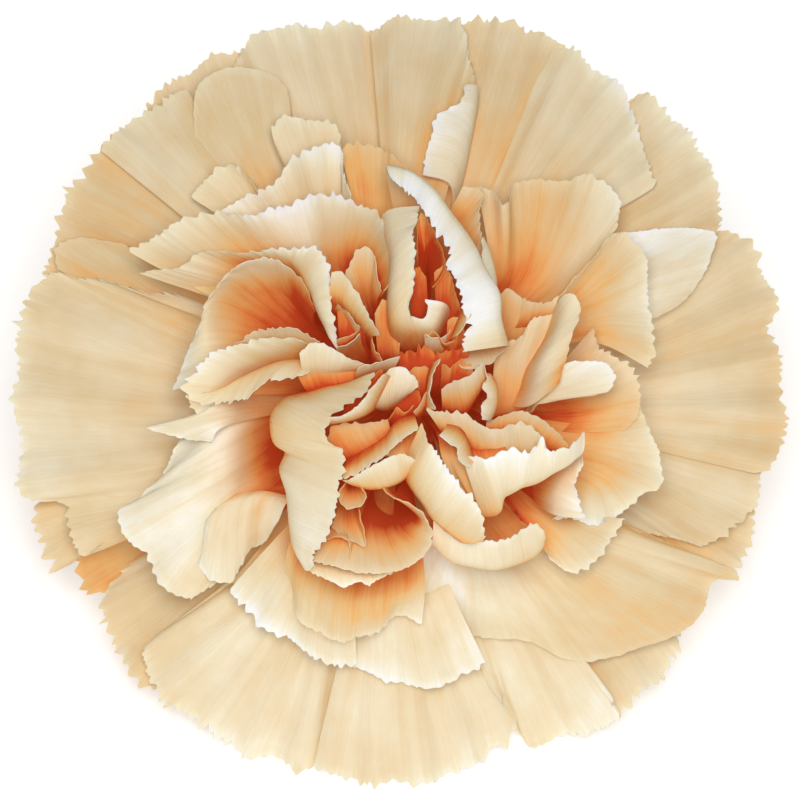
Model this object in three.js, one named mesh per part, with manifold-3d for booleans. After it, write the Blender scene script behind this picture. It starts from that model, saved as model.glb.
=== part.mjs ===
// Cut carnation: a double bloom on its calyx, with the four bracts below it and a short stub of stem.
// Millimetres, +Z up. The bloom lies tilted, on the cut end of its stem and on two low petals.
// Petals are laid out in the bloom's own frame: its axis is z, the mouth of the calyx is z = 0.
import * as THREE from "three";
import Module from "manifold-3d";

const wasm = await Module();
wasm.setup();

// ---- driving dimensions ----
const BLADE = 0.72; // thickness of a petal
const TILT = 36.5; // degrees that the bloom's axis leans from upright
const CLAW_R = 3.9; // radius of the bundle of petal claws inside the calyx
const CLAW_BOTTOM = -21;
const CALYX_BOTTOM = -24.5;
const CALYX_GAP = 0.35; // clear space between claws and calyx
const CALYX_WALL = 0.8;
const CALYX_BASE_R = 4.6;
const TEETH = 5;
const BRACT_T = 0.8;
const STEM_R = 1.95;
const STEM_TOP = -25.6;
const STEM_END = -34.5;
const TOLERANCE = 0.004; // edges shorter than this close up when pieces are joined
const FLOOR_TRIM = 0.5; // depth of the flat spots on the petals that touch the table

// ---- petals ----
// name, claw [x, y], stations from claw to rim (each a curve across the petal), [tooth depth, wave depth, waves]
const PETALS = [
  // guard petals, lowest first
  ["g20", [-3.3, -1.6],
    [[-17, -7.5, -0.8], [-17, -8.8, -0.8], [-16, -10, -0.8], [-14.8, -10.6, -0.8]],
    [[-33.6, -13.5, -9], [-33, -16.2, -9.2], [-31.6, -19.2, -9.2], [-29.8, -19.4, -9], [-27, -17.5, -8.6]],
    [0.6, 0.5, 2]],
  ["g21", [-3.6, -1],
    [[-19.5, -5.5, -0.2], [-19, -6.5, -0.2], [-18.5, -7.5, -0.2]],
    [[-36.5, -10.5, -8], [-36.7, -12.9, -8.4], [-36, -15, -8.6], [-34.3, -17.3, -8.6], [-33, -15.5, -8.2]],
    [0.7, 0.4, 2]],
  ["g13", [4.2, -1],
    [[18, -5, 0.4], [17.5, -6.5, 0.4], [16.5, -8, 0.4], [15, -8.5, 0.4]],
    [[35.4, -9, -7.5], [35.2, -12, -7.8], [34.4, -15.8, -7.8], [33, -17.5, -7.4], [28, -17, -6]],
    [0.6, 0.5, 3]],
  ["g15", [3, -2.8],
    [[14.5, -11, 1.2], [14, -13, 1.2], [12.5, -15, 1.2], [10.5, -16, 1.2]],
    [[29, -22, -6.5], [27.6, -24.8, -6.8], [26.4, -27.6, -6.8], [23.8, -29.8, -6.6], [21.5, -31.6, -6.4],
      [18.5, -31, -6]],
    [0.7, 0.6, 3]],
  ["g19", [-2.8, -2.4],
    [[-12, -15, 0.4], [-13.5, -13.5, 0.5], [-15, -12, 0.6], [-16, -10, 0.6]],
    [[-22, -29, -7], [-25.3, -29, -7.2], [-28, -26.6, -7.2], [-29.3, -23, -7], [-29.9, -19.6, -6.6],
      [-28, -17.2, -5.8], [-24.5, -15.8, -4.8]],
    [0.7, 0.6, 3]],
  ["g3b", [-2, 2],
    [[-15, 14, -0.2], [-14, 16, -0.2], [-13, 17, -0.2], [-11, 18, -0.2]],
    [[-26, 27, -7.4], [-25, 30, -7.8], [-23, 31.8, -7.8], [-20.8, 33, -7.8], [-18.5, 34.4, -7.8], [-16, 35, -7.4],
      [-13, 33, -6.8]],
    [0.6, 0.5, 3]],
  ["g8", [0.8, 3.5],
    [[3, 20, 1.6], [4.5, 21, 1.8], [6, 20.5, 2.2], [7.5, 20, 2.4], [8.5, 19, 2.4]],
    [[3.2, 37.5, -6.3], [6.2, 37.4, -6.4], [8.8, 38.2, -6.4], [11.2, 37.4, -6.3], [14, 36.5, -6.1], [16.3, 35.2, -5.8]],
    [0.6, 0.7, 3]],
  ["g10", [2.8, 2.8],
    [[12, 17, 1.8], [13.5, 16.5, 2], [15, 15.5, 2.2], [16, 14, 2.4], [16.8, 12, 2.6], [17, 10, 2.8]],
    [[22, 29.5, -5.2], [23.9, 30.5, -5.4], [26.6, 28.8, -5.5], [29.2, 25.9, -5.5], [30.8, 23.3, -5.4], [31.8, 20.5, -5],
      [32.1, 18, -4.2], [31.6, 16.6, -3]],
    [0.7, 0.5, 4]],
  ["g2", [-3, 1.5],
    [[-17, 6, 0.9], [-18, 8.5, 1.1], [-18, 11, 1.1], [-16, 14, 1.1], [-14, 16, 0.9]],
    [[-33, 10.5, -4.4], [-35.8, 12.5, -5.6], [-34.8, 15, -5.8], [-34.2, 19, -5.8], [-31.8, 23, -5.4], [-30, 25.5, -5.4],
      [-26, 27, -5]],
    [0.7, 0.6, 3]],
  ["g5", [-1.5, 3],
    [[-9, 18, 1.2], [-7.5, 19.5, 1.4], [-5, 20, 1.4], [-2, 20.5, 1.4], [0, 19.5, 1.2]],
    [[-17, 33.5, -5.7], [-14.6, 36.6, -6.2], [-10.8, 37.2, -6.2], [-6.3, 37.4, -6.2], [-2.5, 37, -6.2], [0, 35.5, -6.2]],
    [0.6, 0.7, 4]],
  ["g17", [0.5, -3.4],
    [[5, -17.5, 1.4], [3.5, -19, 1.6], [1.5, -20, 1.8], [-1, -20, 2], [-3, -19.5, 2], [-4.3, -18.3, 2]],
    [[12.2, -31, -6.6], [10.7, -34, -7.1], [8.6, -35.9, -7.4], [6, -37.2, -7], [2.9, -38.3, -6.4], [-1.1, -38.7, -6],
      [-6, -38, -6.3], [-8.8, -36.7, -6.3]],
    [0.7, 0.6, 5]],
  ["g12", [4.4, -0.4],
    [[19.5, -2.5, 2], [19, -4.5, 2.2], [17.5, -6, 2.4], [16, -7, 2.6], [14, -7.5, 2.6]],
    [[36.2, -5, -6], [35.8, -8.3, -5.6], [35.1, -11.5, -5.2], [33, -13, -4.6], [30.4, -14.8, -4], [28, -14.2, -3],
      [25, -13.6, -1.6], [21, -12.9, 0.3]],
    [0.6, 0.5, 4]],
  ["g18", [-1.5, -3.2],
    [[-5, -18, 1.5], [-6.5, -18.5, 1.9], [-8, -18, 2.3], [-9.5, -17, 2.7], [-10.7, -15.8, 3.1], [-11.5, -14.5, 3.3],
      [-12, -13, 3.3]],
    [[-7, -36.5, -7.9], [-9.7, -37.4, -8], [-13, -36.6, -8.8], [-17.3, -35.1, -8.2], [-20.2, -32.6, -7],
      [-24, -30.2, -6], [-25.5, -27.5, -5], [-25.8, -25.2, -4], [-23.6, -23, -2.8], [-20.5, -22.4, -1.5]],
    [0.8, 0.7, 6]],
  ["g16", [2, -3.2],
    [[10.8, -14, 2.8], [10.2, -15.5, 2.9], [9, -17, 3], [7.5, -18, 3], [6, -18.5, 2.9], [4.8, -18.3, 2.8]],
    [[18.6, -26.5, -2.8], [20.2, -29.2, -4], [21.8, -32, -5.6], [20.1, -33, -6.6], [17.5, -33.8, -8.6], [15, -34.7, -10],
      [13.2, -35.3, -10.3], [11.2, -32.6, -7.6], [9.2, -30.2, -4.6]],
    [0.7, 0.5, 4]],
  ["g11", [4.5, 0.8],
    [[18, 7, 2.8], [19.5, 5.5, 3], [20.3, 3.5, 3], [20.5, 1, 3], [20, -1.5, 3], [18.5, -3.5, 2.8]],
    [[31.8, 16.8, -4.5], [34, 16.2, -5], [36, 13.5, -5.3], [37.3, 10.2, -5.5], [37.2, 6.5, -5.5], [38, 2, -5.5],
      [38.4, -2, -5.5], [37.9, -5.2, -5.3], [35.7, -7.6, -4.8]],
    [0.7, 0.8, 5]],
  ["g3", [-2.5, 2],
    [[-18, 14.8, 1.8], [-17, 16.5, 2], [-15.5, 18, 2.2], [-14, 18.5, 2.2]],
    [[-30.2, 24.8, -4.5], [-28.8, 26.5, -4.5], [-26.3, 28.2, -4.5], [-24, 29.8, -4.3], [-21.8, 31.2, -4]],
    [0.6, 0.5, 3]],
  ["g9", [1.8, 3.4],
    [[8, 18.5, 3.2], [9.6, 18.5, 3.6], [11, 17.8, 3.8], [12.3, 16.8, 4], [13.3, 15.5, 4], [14, 14, 4]],
    [[14.6, 35, -4.8], [17.5, 34.8, -4.8], [19, 33.2, -4.6], [20.7, 32.2, -4.4], [22.6, 30.2, -3.8], [23.4, 27.5, -2.8],
      [24.6, 24, -1.7], [25, 21, -0.6]],
    [0.6, 0.6, 4]],
  ["g2b", [-3, 1.2],
    [[-18, 5, 2], [-18, 7, 2.2], [-17, 8.5, 2.2], [-15.5, 9.5, 2]],
    [[-34.5, 12.5, -3.5], [-34.8, 15, -4], [-33, 16, -3.2], [-30, 15.8, -2.2], [-27, 15, -1], [-24, 12.5, 0]],
    [0.3, 0.3, 2]],
  ["g4", [-2, 2.5],
    [[-14, 16.5, 2.8], [-13.5, 18, 3.2], [-12.3, 19.5, 3.4], [-11, 19.5, 3.4], [-9.8, 18, 3.2]],
    [[-20.6, 24, -0.8], [-20.8, 29, -2], [-20.3, 31.6, -2.3], [-18, 32.9, -2.3], [-15, 33, -2], [-12.6, 32.2, -1.6],
      [-11.4, 30.4, -1], [-12.2, 27.8, 0.2]],
    [0.15, 0.3, 3]],
  ["g7", [-0.5, 3],
    [[-1.9, 21, 3.4], [-0.5, 22, 3.6], [1.2, 22.5, 3.8], [2.6, 22.5, 4], [3.6, 21.5, 4.2], [4.3, 20, 4.4]],
    [[-3.2, 36.6, -4.8], [-1, 38, -5], [2, 37.9, -5], [4.9, 38.2, -5], [6.3, 36.5, -4], [6.8, 34, -2.6],
      [7.3, 31.6, -1], [7.2, 29.5, 0.5]],
    [0.5, 0.5, 3]],
  ["g7b", [0, 3],
    [[7.5, 31, 0], [7.3, 29.5, 1], [6.6, 27, 2.5], [5.8, 24, 3.8], [5, 21, 5]],
    [[6.4, 31.4, 1.2], [5.8, 29.6, 2.6], [3.6, 28.2, 4], [2.6, 25, 5], [2, 22.3, 6]],
    [0.2, 0.2, 2]],
  ["g1", [-3.5, 0.3],
    [[-13, 6, 3.6], [-17, 6.4, 4.2], [-20, 5, 4.2], [-21, 2, 4.4], [-21, -3, 4.4], [-20, -7, 4.2], [-17, -9, 3.6],
      [-14, -8, 3.2]],
    [[-22, 10.3, 2.4], [-27, 10.9, 1.2], [-31, 12, -0.2], [-36.3, 12, -3], [-38.4, 6.3, -4.2], [-38.8, 1, -4.6],
      [-38.2, -6.5, -5], [-38, -9.7, -5.4], [-33.9, -11.2, -4], [-32, -15.8, -4.5], [-28, -12.5, -2]],
    [0.8, 0.8, 6]],
  ["g10b", [3.1, 2.5],
    [[15, 9.5, 4.4], [17, 10, 4.8], [18.5, 9.6, 5], [19, 8.4, 5], [18.5, 7, 4.8]],
    [[22, 16.5, 2.4], [25.5, 16.9, 1], [29, 17, -0.6], [31.3, 16.4, -2], [30.5, 13, -0.6], [28.5, 10, 1.2],
      [25.5, 8, 2.8]],
    [0.2, 0.4, 2]],
  // middle petals
  ["m23", [-0.8, 2.4],
    [[-4, 15, 7.5], [-3, 15.5, 8], [-1.8, 15.5, 8.6], [-0.5, 15, 9.5]],
    [[-6, 24.5, 8.6], [-4.5, 25.5, 8], [-2.2, 25, 8.5], [-0.5, 23.8, 9.5], [1, 22.5, 10.5]],
    [0.3, 0.3, 2]],
  ["m1c", [-1.4, 2.4],
    [[-13, 14.5, 4.5], [-12, 15.2, 4.8], [-10.8, 15.5, 5], [-9.8, 15, 5.2]],
    [[-21, 20, 3.5], [-19.2, 22.2, 4], [-17.3, 23.5, 4.6], [-15.4, 22.3, 5.4], [-14.5, 20.5, 6.4]],
    [0.4, 0.3, 2]],
  ["m1d", [-1, 2.6],
    [[-8.5, 16, 5.4], [-7.8, 17, 5.6], [-6.8, 17.6, 5.8], [-5.8, 17.5, 6], [-4.8, 16.5, 6.2]],
    [[-12, 23.5, 4.5], [-12.8, 26.5, 4.5], [-12, 28.3, 4.6], [-9.8, 27.8, 5], [-6.8, 27.3, 5.6], [-6, 24, 6.6],
      [-5.6, 20.8, 7.8]],
    [0.4, 0.3, 3]],
  ["m7c", [0.4, -3.2],
    [[-5, -17, 6], [-3, -18, 6], [-0.5, -18.5, 6], [2, -18.3, 6], [4.2, -17.2, 6]],
    [[-6.5, -25.5, 1], [-4.5, -27, 0.6], [-2, -28, 0.2], [0.5, -28.9, 0], [3.5, -28.9, 0], [6, -28, 0.2],
      [8.2, -26.2, 0.6]],
    [0.4, 0.4, 3]],
  ["g14", [3.6, -2],
    [[11, -7.5, 6.4], [14, -9, 6.8], [15.5, -11, 6.6], [15, -13.5, 6.2], [13, -15, 6], [10, -15.5, 6.2], [7, -15, 6.8],
      [5, -13.5, 8], [4, -11, 9]],
    [[20, -12.8, 5], [25, -13.9, 2], [29.5, -16.2, -0.8], [33.4, -17.2, -3], [33.9, -18.4, -3.5], [31.3, -18.5, -3.4],
      [30.2, -21.3, -3.6], [28, -23.3, -3.6], [24, -25, -3], [19.5, -26.4, -2], [16.5, -26.2, -1.2], [13, -24.3, 0],
      [8, -24, 1.2], [5, -23.3, 2.2], [2.6, -21, 4.5], [1.4, -18.5, 6.5], [2.2, -15.5, 8.5]],
    [0.12, 0.4, 4]],
  ["m1b", [-1.2, 2.2],
    [[-11, 12, 6.5], [-9.8, 13.2, 7], [-8.4, 14, 7.4], [-6.8, 14.4, 7.8], [-5.4, 14.3, 8], [-4.4, 13.5, 8.2]],
    [[-20, 17.5, 7], [-18.2, 18.6, 8], [-16.2, 19.8, 8.6], [-13, 21.2, 9.6], [-11.5, 23.2, 10.2], [-9, 24.8, 10.8],
      [-6.4, 25.1, 11], [-5.7, 22.5, 11.4], [-5.4, 20, 12]],
    [0.4, 0.4, 4]],
  ["m4", [-2.6, -0.6],
    [[-10.5, 1.5, 7], [-12, -1, 6.5], [-12.8, -4, 6], [-12.8, -7, 5.6], [-12, -9, 5.2], [-11, -10.5, 5]],
    [[-15.5, 0.5, 11.5], [-17, -1.5, 12.5], [-17.6, -4, 12.5], [-18, -6.5, 11.6], [-18, -8.5, 10.2], [-17, -10.5, 8.4],
      [-15.5, -12, 7], [-13.5, -12.8, 6.2]],
    [[-21, -3.5, 10], [-22.8, -5, 9], [-24, -8, 7.5], [-26, -9.8, 6], [-28.2, -11.2, 4.5], [-27.2, -14.3, 3.6],
      [-25.5, -16, 3.4], [-24, -18.5, 3], [-21.2, -20.2, 3], [-18.8, -18.4, 3.6]],
    [0.3, 0.5, 4]],
  ["m4b", [-2, -1.8],
    [[-9.5, -7.6, 6], [-9.4, -8.8, 6.4], [-9, -10, 6.8], [-8.6, -11, 7.4]],
    [[-19.8, -12.2, 7.6], [-18.4, -10.9, 8.6], [-16.8, -10, 9.4], [-14.8, -9.7, 10], [-12.8, -9.7, 10.4],
      [-11.2, -10.2, 10.8]],
    [[-20.5, -12.8, 6.4], [-20.8, -15, 5.4], [-19.6, -17.6, 4.8], [-18.2, -18.4, 5], [-17, -18.4, 5.4],
      [-16.2, -16.8, 6], [-15.2, -15.2, 6.8], [-13.8, -14.4, 7.8], [-12.4, -12.4, 9.4]],
    [0.2, 0.3, 3]],
  ["m4c", [-1.8, -2],
    [[-10.5, -10.5, 5], [-10.5, -11.5, 5.2], [-10.2, -12.5, 5.4]],
    [[-17, -18.4, 3.6], [-15.6, -18.4, 3.8], [-14.2, -18.2, 4.2], [-13.6, -16.6, 5]],
    [0.2, 0.2, 2]],
  ["m7", [-1.2, -2.8],
    [[-12.6, -14, 9.5], [-11.5, -15.5, 9.5], [-9.5, -17, 9], [-7, -18.3, 8.6], [-4.5, -18.6, 8.2]],
    [[-17, -18.9, 4.5], [-16.4, -20.2, 4], [-14.6, -22, 3.4], [-12.8, -23.5, 3], [-9.5, -25.2, 2.4], [-6.6, -26.8, 2],
      [-4.6, -26.5, 2]],
    [0.5, 0.5, 3]],
  ["m7b", [-0.8, -3],
    [[-10.9, -13.6, 11.5], [-9.8, -16, 11], [-7.5, -18, 10.4], [-4.5, -19, 10], [-1.5, -19, 10], [1, -18, 10],
      [2.2, -16.8, 10]],
    [[-11.6, -18.6, 7.5], [-11, -20.6, 7], [-9.6, -22.6, 6.4], [-7.5, -23.9, 6], [-4.5, -24.1, 5.8], [-2, -22.8, 6],
      [-0.5, -21.9, 6.2], [2, -22.3, 6]],
    [0.3, 0.5, 4]],
  ["m17", [2.6, 2.4],
    [[8.6, 10.5, 8], [10, 11.5, 7.2], [12, 12, 6.6], [13.5, 12, 6.6], [15, 11.2, 7.6], [15.8, 10.3, 9.6]],
    [[7.6, 21, 9], [9, 20.6, 9.5], [10.3, 19.3, 10.5], [11, 21.2, 9], [13.5, 21.9, 8], [16, 21.7, 7.5], [19, 22.3, 6.5],
      [21.8, 19.6, 5.5], [21.2, 17, 7.5]],
    [0.2, 0.4, 3]],
  ["m17b", [3.6, 1.8],
    [[13.5, 8, 10], [15.5, 9.5, 10.2], [17.5, 9.8, 9.6], [18.5, 8.8, 9.4], [19, 7.4, 9.4], [18.8, 5.6, 9.6]],
    [[16.2, 10.6, 12.2], [18.5, 13.2, 11.5], [20.6, 16.1, 10], [22.2, 16.4, 8.6], [24.2, 14, 8], [24.6, 9.5, 8],
      [25.2, 5, 8.4], [24.6, 3, 8.6]],
    [0.2, 0.3, 3]],
  ["m16", [4.4, 0.2],
    [[14, 2, 9], [15, 1, 9.5], [16, 0, 10], [16.5, -1.8, 10.2], [16.2, -3.4, 10.4]],
    [[19, 7, 13.5], [19.6, 5, 13.6], [21, 4.4, 13], [22.7, 3, 12.4], [23.6, 1, 11.8], [23.8, -1, 11.2],
      [22.2, -3.2, 11.2]],
    [0.4, 0.3, 2]],
  ["m13", [3.6, -0.6],
    [[13, -2, 9], [13, -4, 9], [13, -6, 9], [12.5, -8, 9]],
    [[20, -2.5, 11], [20.5, -5, 10.5], [20, -8, 10.5], [17, -10.5, 11]],
    [[23.6, -0.8, 10.5], [25, -4, 9.5], [25.8, -6.5, 8.8], [25.8, -8.8, 8.2], [24, -9.6, 8.4], [22, -11.4, 8.8],
      [19.6, -12.6, 9.6], [17, -12.1, 11], [15.2, -12, 12]],
    [0.25, 0.3, 3]],
  ["m14", [3.2, -1.8],
    [[10.5, -10.5, 10.5], [12, -12, 10.8], [14, -12.6, 10.8], [16, -12.4, 10.6], [18.5, -11.5, 9.8]],
    [[14, -14.6, 10], [15.4, -16.6, 9], [17, -17.4, 8.6], [18.8, -16.6, 8.4], [20.4, -15, 8.2], [22.2, -12, 8]],
    [0.3, 0.3, 2]],
  ["m1", [-1.5, 1.8],
    [[-15, 8, 9.5], [-14, 10, 10.5], [-12, 12, 11.5], [-9.5, 13.5, 12.2], [-7, 13.8, 12.5], [-5, 13, 12.8],
      [-3.5, 11, 13], [-2.6, 8.5, 13]],
    [[-27.3, 14.5, 7], [-24, 16.5, 9], [-21, 18.1, 10.5], [-16.5, 18.3, 12.5], [-12, 19, 14], [-8.2, 20.2, 15],
      [-5.2, 20, 15.8], [-2.8, 18.2, 17.2], [-1, 15.5, 19.2], [-0.5, 12.3, 20.4], [-2, 11, 20.4]],
    [0.4, 0.5, 4]],
  ["m28", [3.6, 0.4],
    [[8, 6, 13], [9.4, 5.6, 13.2], [11, 5, 13.4], [12.6, 4.4, 13.4]],
    [[8.6, 9.4, 16.4], [9.6, 10.2, 16.6], [10.4, 10.8, 16.6], [12, 9.8, 16.4], [13, 9, 16.2], [13.2, 7.4, 16]],
    [0.15, 0.2, 2]],
  ["m28c", [4, 0.4],
    [[11.6, 7.6, 15.6], [13, 7.4, 15.8], [14.6, 7.2, 16]],
    [[12, 9.9, 16.8], [13.2, 9.4, 17.2], [14.4, 9.5, 17.4], [15.6, 10.1, 17.4]],
    [0.15, 0.1, 2]],
  ["m28b", [3.8, 0.2],
    [[8.6, -1.6, 15.5], [9.8, -1.4, 15.2], [11, -1.2, 15.2], [12.6, -0.8, 15.5]],
    [[9.2, 3.4, 16.8], [10.6, 3.6, 17], [12, 3.8, 17], [13.4, 4, 16.8]],
    [[9.6, 6, 17.4], [11, 5.7, 17.8], [12.4, 6.6, 18], [12.8, 7.8, 17.8], [14, 8.1, 17.8], [15.8, 8.4, 17.6]],
    [0.25, 0.2, 2]],
  ["m2", [-2, 1.4],
    [[-15, 8.5, 7.5], [-15.5, 10, 9], [-15.5, 11.5, 10.5], [-14, 12.8, 13], [-12, 13.2, 15.5], [-10.4, 13, 17.8],
      [-9.2, 11.4, 19.6], [-8.6, 9.8, 20.4], [-8, 8.2, 20.6], [-7.3, 6.2, 20.6]],
    [[-26.3, 12.3, 8.5], [-24.3, 12.8, 10], [-22, 13.2, 11.5], [-20.3, 14.3, 13], [-16.5, 14.6, 15.5],
      [-12.5, 14.6, 17.5], [-9.8, 15, 19], [-8, 14.5, 20], [-7.3, 12.3, 21], [-7, 10, 21.5], [-6.7, 7.5, 21.5],
      [-6.6, 4.9, 21]],
    [0.3, 0.3, 4]],
  ["m2b", [-2.4, 0.9],
    [[-10, 3.5, 8], [-11.2, 5, 8.5], [-11.2, 6.6, 9], [-10.6, 7.6, 9.4], [-9.6, 8, 10], [-8.8, 7.4, 11],
      [-8.2, 6.6, 12]],
    [[-18.6, 2, 15], [-19.4, 5, 15.5], [-19.5, 8, 16], [-18.3, 10.6, 16.4], [-16, 12.6, 16.4], [-13.6, 12.8, 15.6],
      [-11.6, 11.8, 15.4], [-10, 10, 16.4], [-8.9, 8, 17.4]],
    [[-22.9, 0.8, 12], [-21.5, 4, 13], [-20.3, 6.8, 15], [-19.6, 9, 16.4], [-18.2, 11.3, 17], [-16, 13.3, 17.4],
      [-13.6, 14, 17.2], [-11.4, 13.2, 17.6], [-9.7, 11.2, 18.8], [-8.8, 8.6, 19.6]],
    [0.2, 0.2, 2]],
  ["m3b", [-2.3, 1.2],
    [[-9, 4.2, 12], [-11, 4.8, 13], [-14, 5, 14]],
    [[-8, 5.5, 20], [-10, 6.4, 20], [-11.5, 7.1, 19.8], [-13.2, 6.9, 19.4], [-15, 6.4, 19], [-16.8, 5.4, 18.4]],
    [0.3, 0.3, 2]],
  ["m3", [-2.5, 0.6],
    [[-8, 3.7, 19], [-12, 3.5, 18.6], [-16, 2, 18], [-18.4, 0.4, 17.4], [-17.4, 2, 17.6], [-14, 3.8, 18.2],
      [-11, 4.6, 18.8], [-8.5, 4.9, 19.2]],
    [[-9.4, 2.5, 21.5], [-11, 2.1, 21.5], [-13.2, 1.7, 21.2], [-15.3, 0, 20.4], [-18, -0.4, 18.4], [-20.4, -0.4, 18],
      [-21.6, 0.9, 18.6], [-20, 3.4, 20], [-17.7, 4.8, 21], [-15, 5.7, 21.6], [-12.6, 6, 22], [-10, 5.6, 22.2]],
    [0.4, 0.2, 3]],
  ["m3r", [-2.2, 0.8],
    [[-9.8, 2.6, 20.4], [-7.2, 2.6, 20.6], [-4.6, 2.8, 20.8]],
    [[-10.2, 4.4, 21.4], [-8.8, 5.5, 22], [-7, 5, 22.4], [-5.4, 4, 22.6], [-3.2, 3.1, 22.6]],
    [0.1, 0.1, 2]],
  ["m3t", [-2.8, 0.2],
    [[-12.4, 0.4, 9], [-12.6, -0.6, 9], [-12.8, -1.6, 9]],
    [[-18.9, 0.6, 17], [-18.4, -1.6, 16], [-18.2, -3, 15]],
    [[-21.4, 0.4, 17.6], [-21, -0.8, 16.6], [-19.8, -2.2, 15.4], [-22.6, -2.8, 14], [-25.7, -2.9, 12.6],
      [-22, -4, 12.6], [-18.9, -4.3, 13]],
    [0.25, 0.2, 2]],
  // inner petals
  ["m6o", [-1, -2.4],
    [[-9.6, -15.7, 17.6], [-8, -16.6, 17.9], [-5.5, -17.2, 18.1], [-3, -17.2, 18.3], [-1, -16.6, 18.5]],
    [[-9.6, -17.1, 18.2], [-7.8, -17.9, 18.4], [-5.8, -18.7, 18.4], [-4.2, -18.3, 18.6], [-3.2, -18.6, 18.6],
      [-2.4, -17.9, 18.8], [-0.9, -17.4, 19]],
    [0.2, 0.2, 3]],
  ["m8", [1.8, -2.6],
    [[2, -9, 7], [4, -10.5, 7], [6, -11, 7], [8, -10.8, 7], [9.5, -10, 7]],
    [[3, -14.5, 16.5], [4.6, -16, 15.5], [7.5, -16.9, 14.8], [10, -16.9, 14.4], [12.3, -16.2, 14.2], [13.8, -15, 14.4],
      [14.2, -14, 15]],
    [[3.1, -12.2, 19.5], [4.4, -13.2, 19], [6.6, -14.3, 18.6], [8.7, -14.2, 18.4], [10.8, -14, 18.2], [12.1, -13, 18],
      [13.2, -12.5, 17.6], [14.1, -13.4, 17]],
    [0.35, 0.2, 3]],
  ["m13w", [3.4, -1.2],
    [[12, -6, 10], [12.2, -8, 10], [12.4, -9.5, 10]],
    [[17.7, -5.4, 17], [16.2, -7.6, 16.8], [15.4, -9.8, 16.2], [15.3, -11.6, 15.2]],
    [[18, -6.4, 18], [17.3, -8.2, 18.2], [17.5, -10.2, 17.6], [18.2, -12, 16]],
    [0.35, 0.2, 2]],
  ["m5", [-1.8, -0.8],
    [[-4, 1.2, 9], [-7.5, 0.8, 9], [-9.5, -0.5, 8.5], [-10.2, -3, 8.5], [-10, -5.5, 8.5], [-9.6, -8, 8.5], [-9, -10, 8.5],
      [-8.5, -12, 8.5], [-7.5, -13.5, 8.5]],
    [[-4.6, 1.8, 22], [-8.4, 0.4, 21.5], [-11.4, -0.4, 21], [-12.8, -2.2, 20.5], [-12.4, -4.6, 20], [-11, -5.6, 20],
      [-11.9, -7.3, 19.5], [-11.1, -9.8, 19.5], [-11.1, -12.5, 19], [-10.6, -15, 18.5], [-9.7, -17, 18]],
    [[-2.8, 2.6, 24.5], [-3.9, 0.2, 25], [-6.2, -1, 25.2], [-7.4, -2.6, 25.2], [-7.2, -4.5, 25.2], [-5.9, -5.4, 25.4],
      [-5.8, -7, 25.2], [-6.4, -9, 24.8], [-6.7, -11.8, 24], [-7.6, -13.8, 23], [-8.6, -15.3, 21.5],
      [-9.3, -17.2, 19.5]],
    [0.35, 0.3, 5]],
  ["m6", [-0.6, -1.8],
    [[-4.5, -7.6, 9], [-3, -9.4, 9.5], [-1.5, -10.6, 10], [0, -10.2, 10], [0.8, -8.6, 9.5], [0.4, -6.4, 9]],
    [[-7, -13, 17.6], [-5, -13.8, 18], [-2, -14, 18.2], [0.6, -13.2, 18.6], [1.8, -12, 18.8], [0.8, -10.9, 19],
      [-0.8, -9.4, 19]],
    [[-9, -16.2, 19.4], [-6, -16.9, 20.2], [-3, -17.4, 20.4], [0, -17.1, 20.4], [1.6, -16.1, 20.6], [2.8, -14.5, 20.8],
      [3, -13.1, 21], [2.5, -11.9, 21.3], [1.2, -10.8, 21.8], [-0.6, -10.1, 22], [-1.7, -9.2, 22], [-1.6, -8.4, 21.5]],
    [0.12, 0.2, 3]],
  ["m15", [4, 0.6],
    [[8.6, 0, 10], [9.5, 1, 10], [10.5, 2, 10.5], [11.5, 3, 11]],
    [[12.7, -0.8, 18.5], [13.2, 1, 19.3], [14, 3.6, 20], [15.1, 6, 20], [15.8, 8, 19.5], [15.7, 9.6, 18.5]],
    [[15.6, 1.4, 20.6], [16, 3, 21], [16.6, 5, 21], [17.2, 7, 20.8], [17.6, 9, 20.2], [16.9, 10.4, 19.6],
      [16, 10.2, 19]],
    [0.15, 0.2, 2]],
  ["m15b", [4.2, 0],
    [[11.5, 0, 14.5], [12.2, -0.8, 14.5], [12.6, -1.6, 14.5]],
    [[15, 2.4, 19.8], [14.8, 1.2, 19.2], [14.4, 0.2, 18.8], [13.6, -0.6, 18.4]],
    [[16.2, 3.4, 20], [18.4, 3.7, 19.2], [20.2, 3.5, 18.2], [21.2, 2.2, 17.4], [20.6, 0.8, 17], [18, 0.3, 17.4]],
    [0.15, 0.2, 2]],
  ["m11b", [3.2, -0.2],
    [[8.2, -3.6, 18.6], [10, -3.9, 18.4], [12, -4.2, 18.2], [13.6, -4.8, 18], [15, -5.6, 18]],
    [[8.4, -2.4, 20], [9.8, -1.9, 20], [11.6, -1.2, 19.8], [13.4, -1.9, 19.8], [15.2, -3.2, 19.6], [16.6, -4.8, 19.4]],
    [0.1, 0.1, 2]],
  ["m11", [2.6, -0.6],
    [[4, -3.4, 22.2], [6, -4.4, 22], [8, -5.4, 21.4], [10.5, -5.8, 20.8], [13, -5.8, 20.4], [14.5, -5.3, 20.2]],
    [[2.4, -1.2, 24.2], [4.2, -1.4, 23.8], [6.3, -1.7, 23.4], [7.8, -2.6, 22.9], [9.3, -3, 22.6], [11.3, -2.5, 22.2],
      [13, -2.9, 21.8], [14, -4.2, 21.4]],
    [0.3, 0.2, 4]],
  ["m10", [2.4, -1.2],
    [[4, -5, 9], [6, -6, 9], [7.5, -6, 9], [9, -5.5, 9], [10, -4.8, 9]],
    [[7.8, -11.9, 19], [9.6, -11.4, 19.4], [10.2, -9.8, 20.6], [11.6, -9, 21.2], [14, -8, 21.2], [16, -6.9, 20.8],
      [17.8, -5.6, 20.2]],
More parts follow.
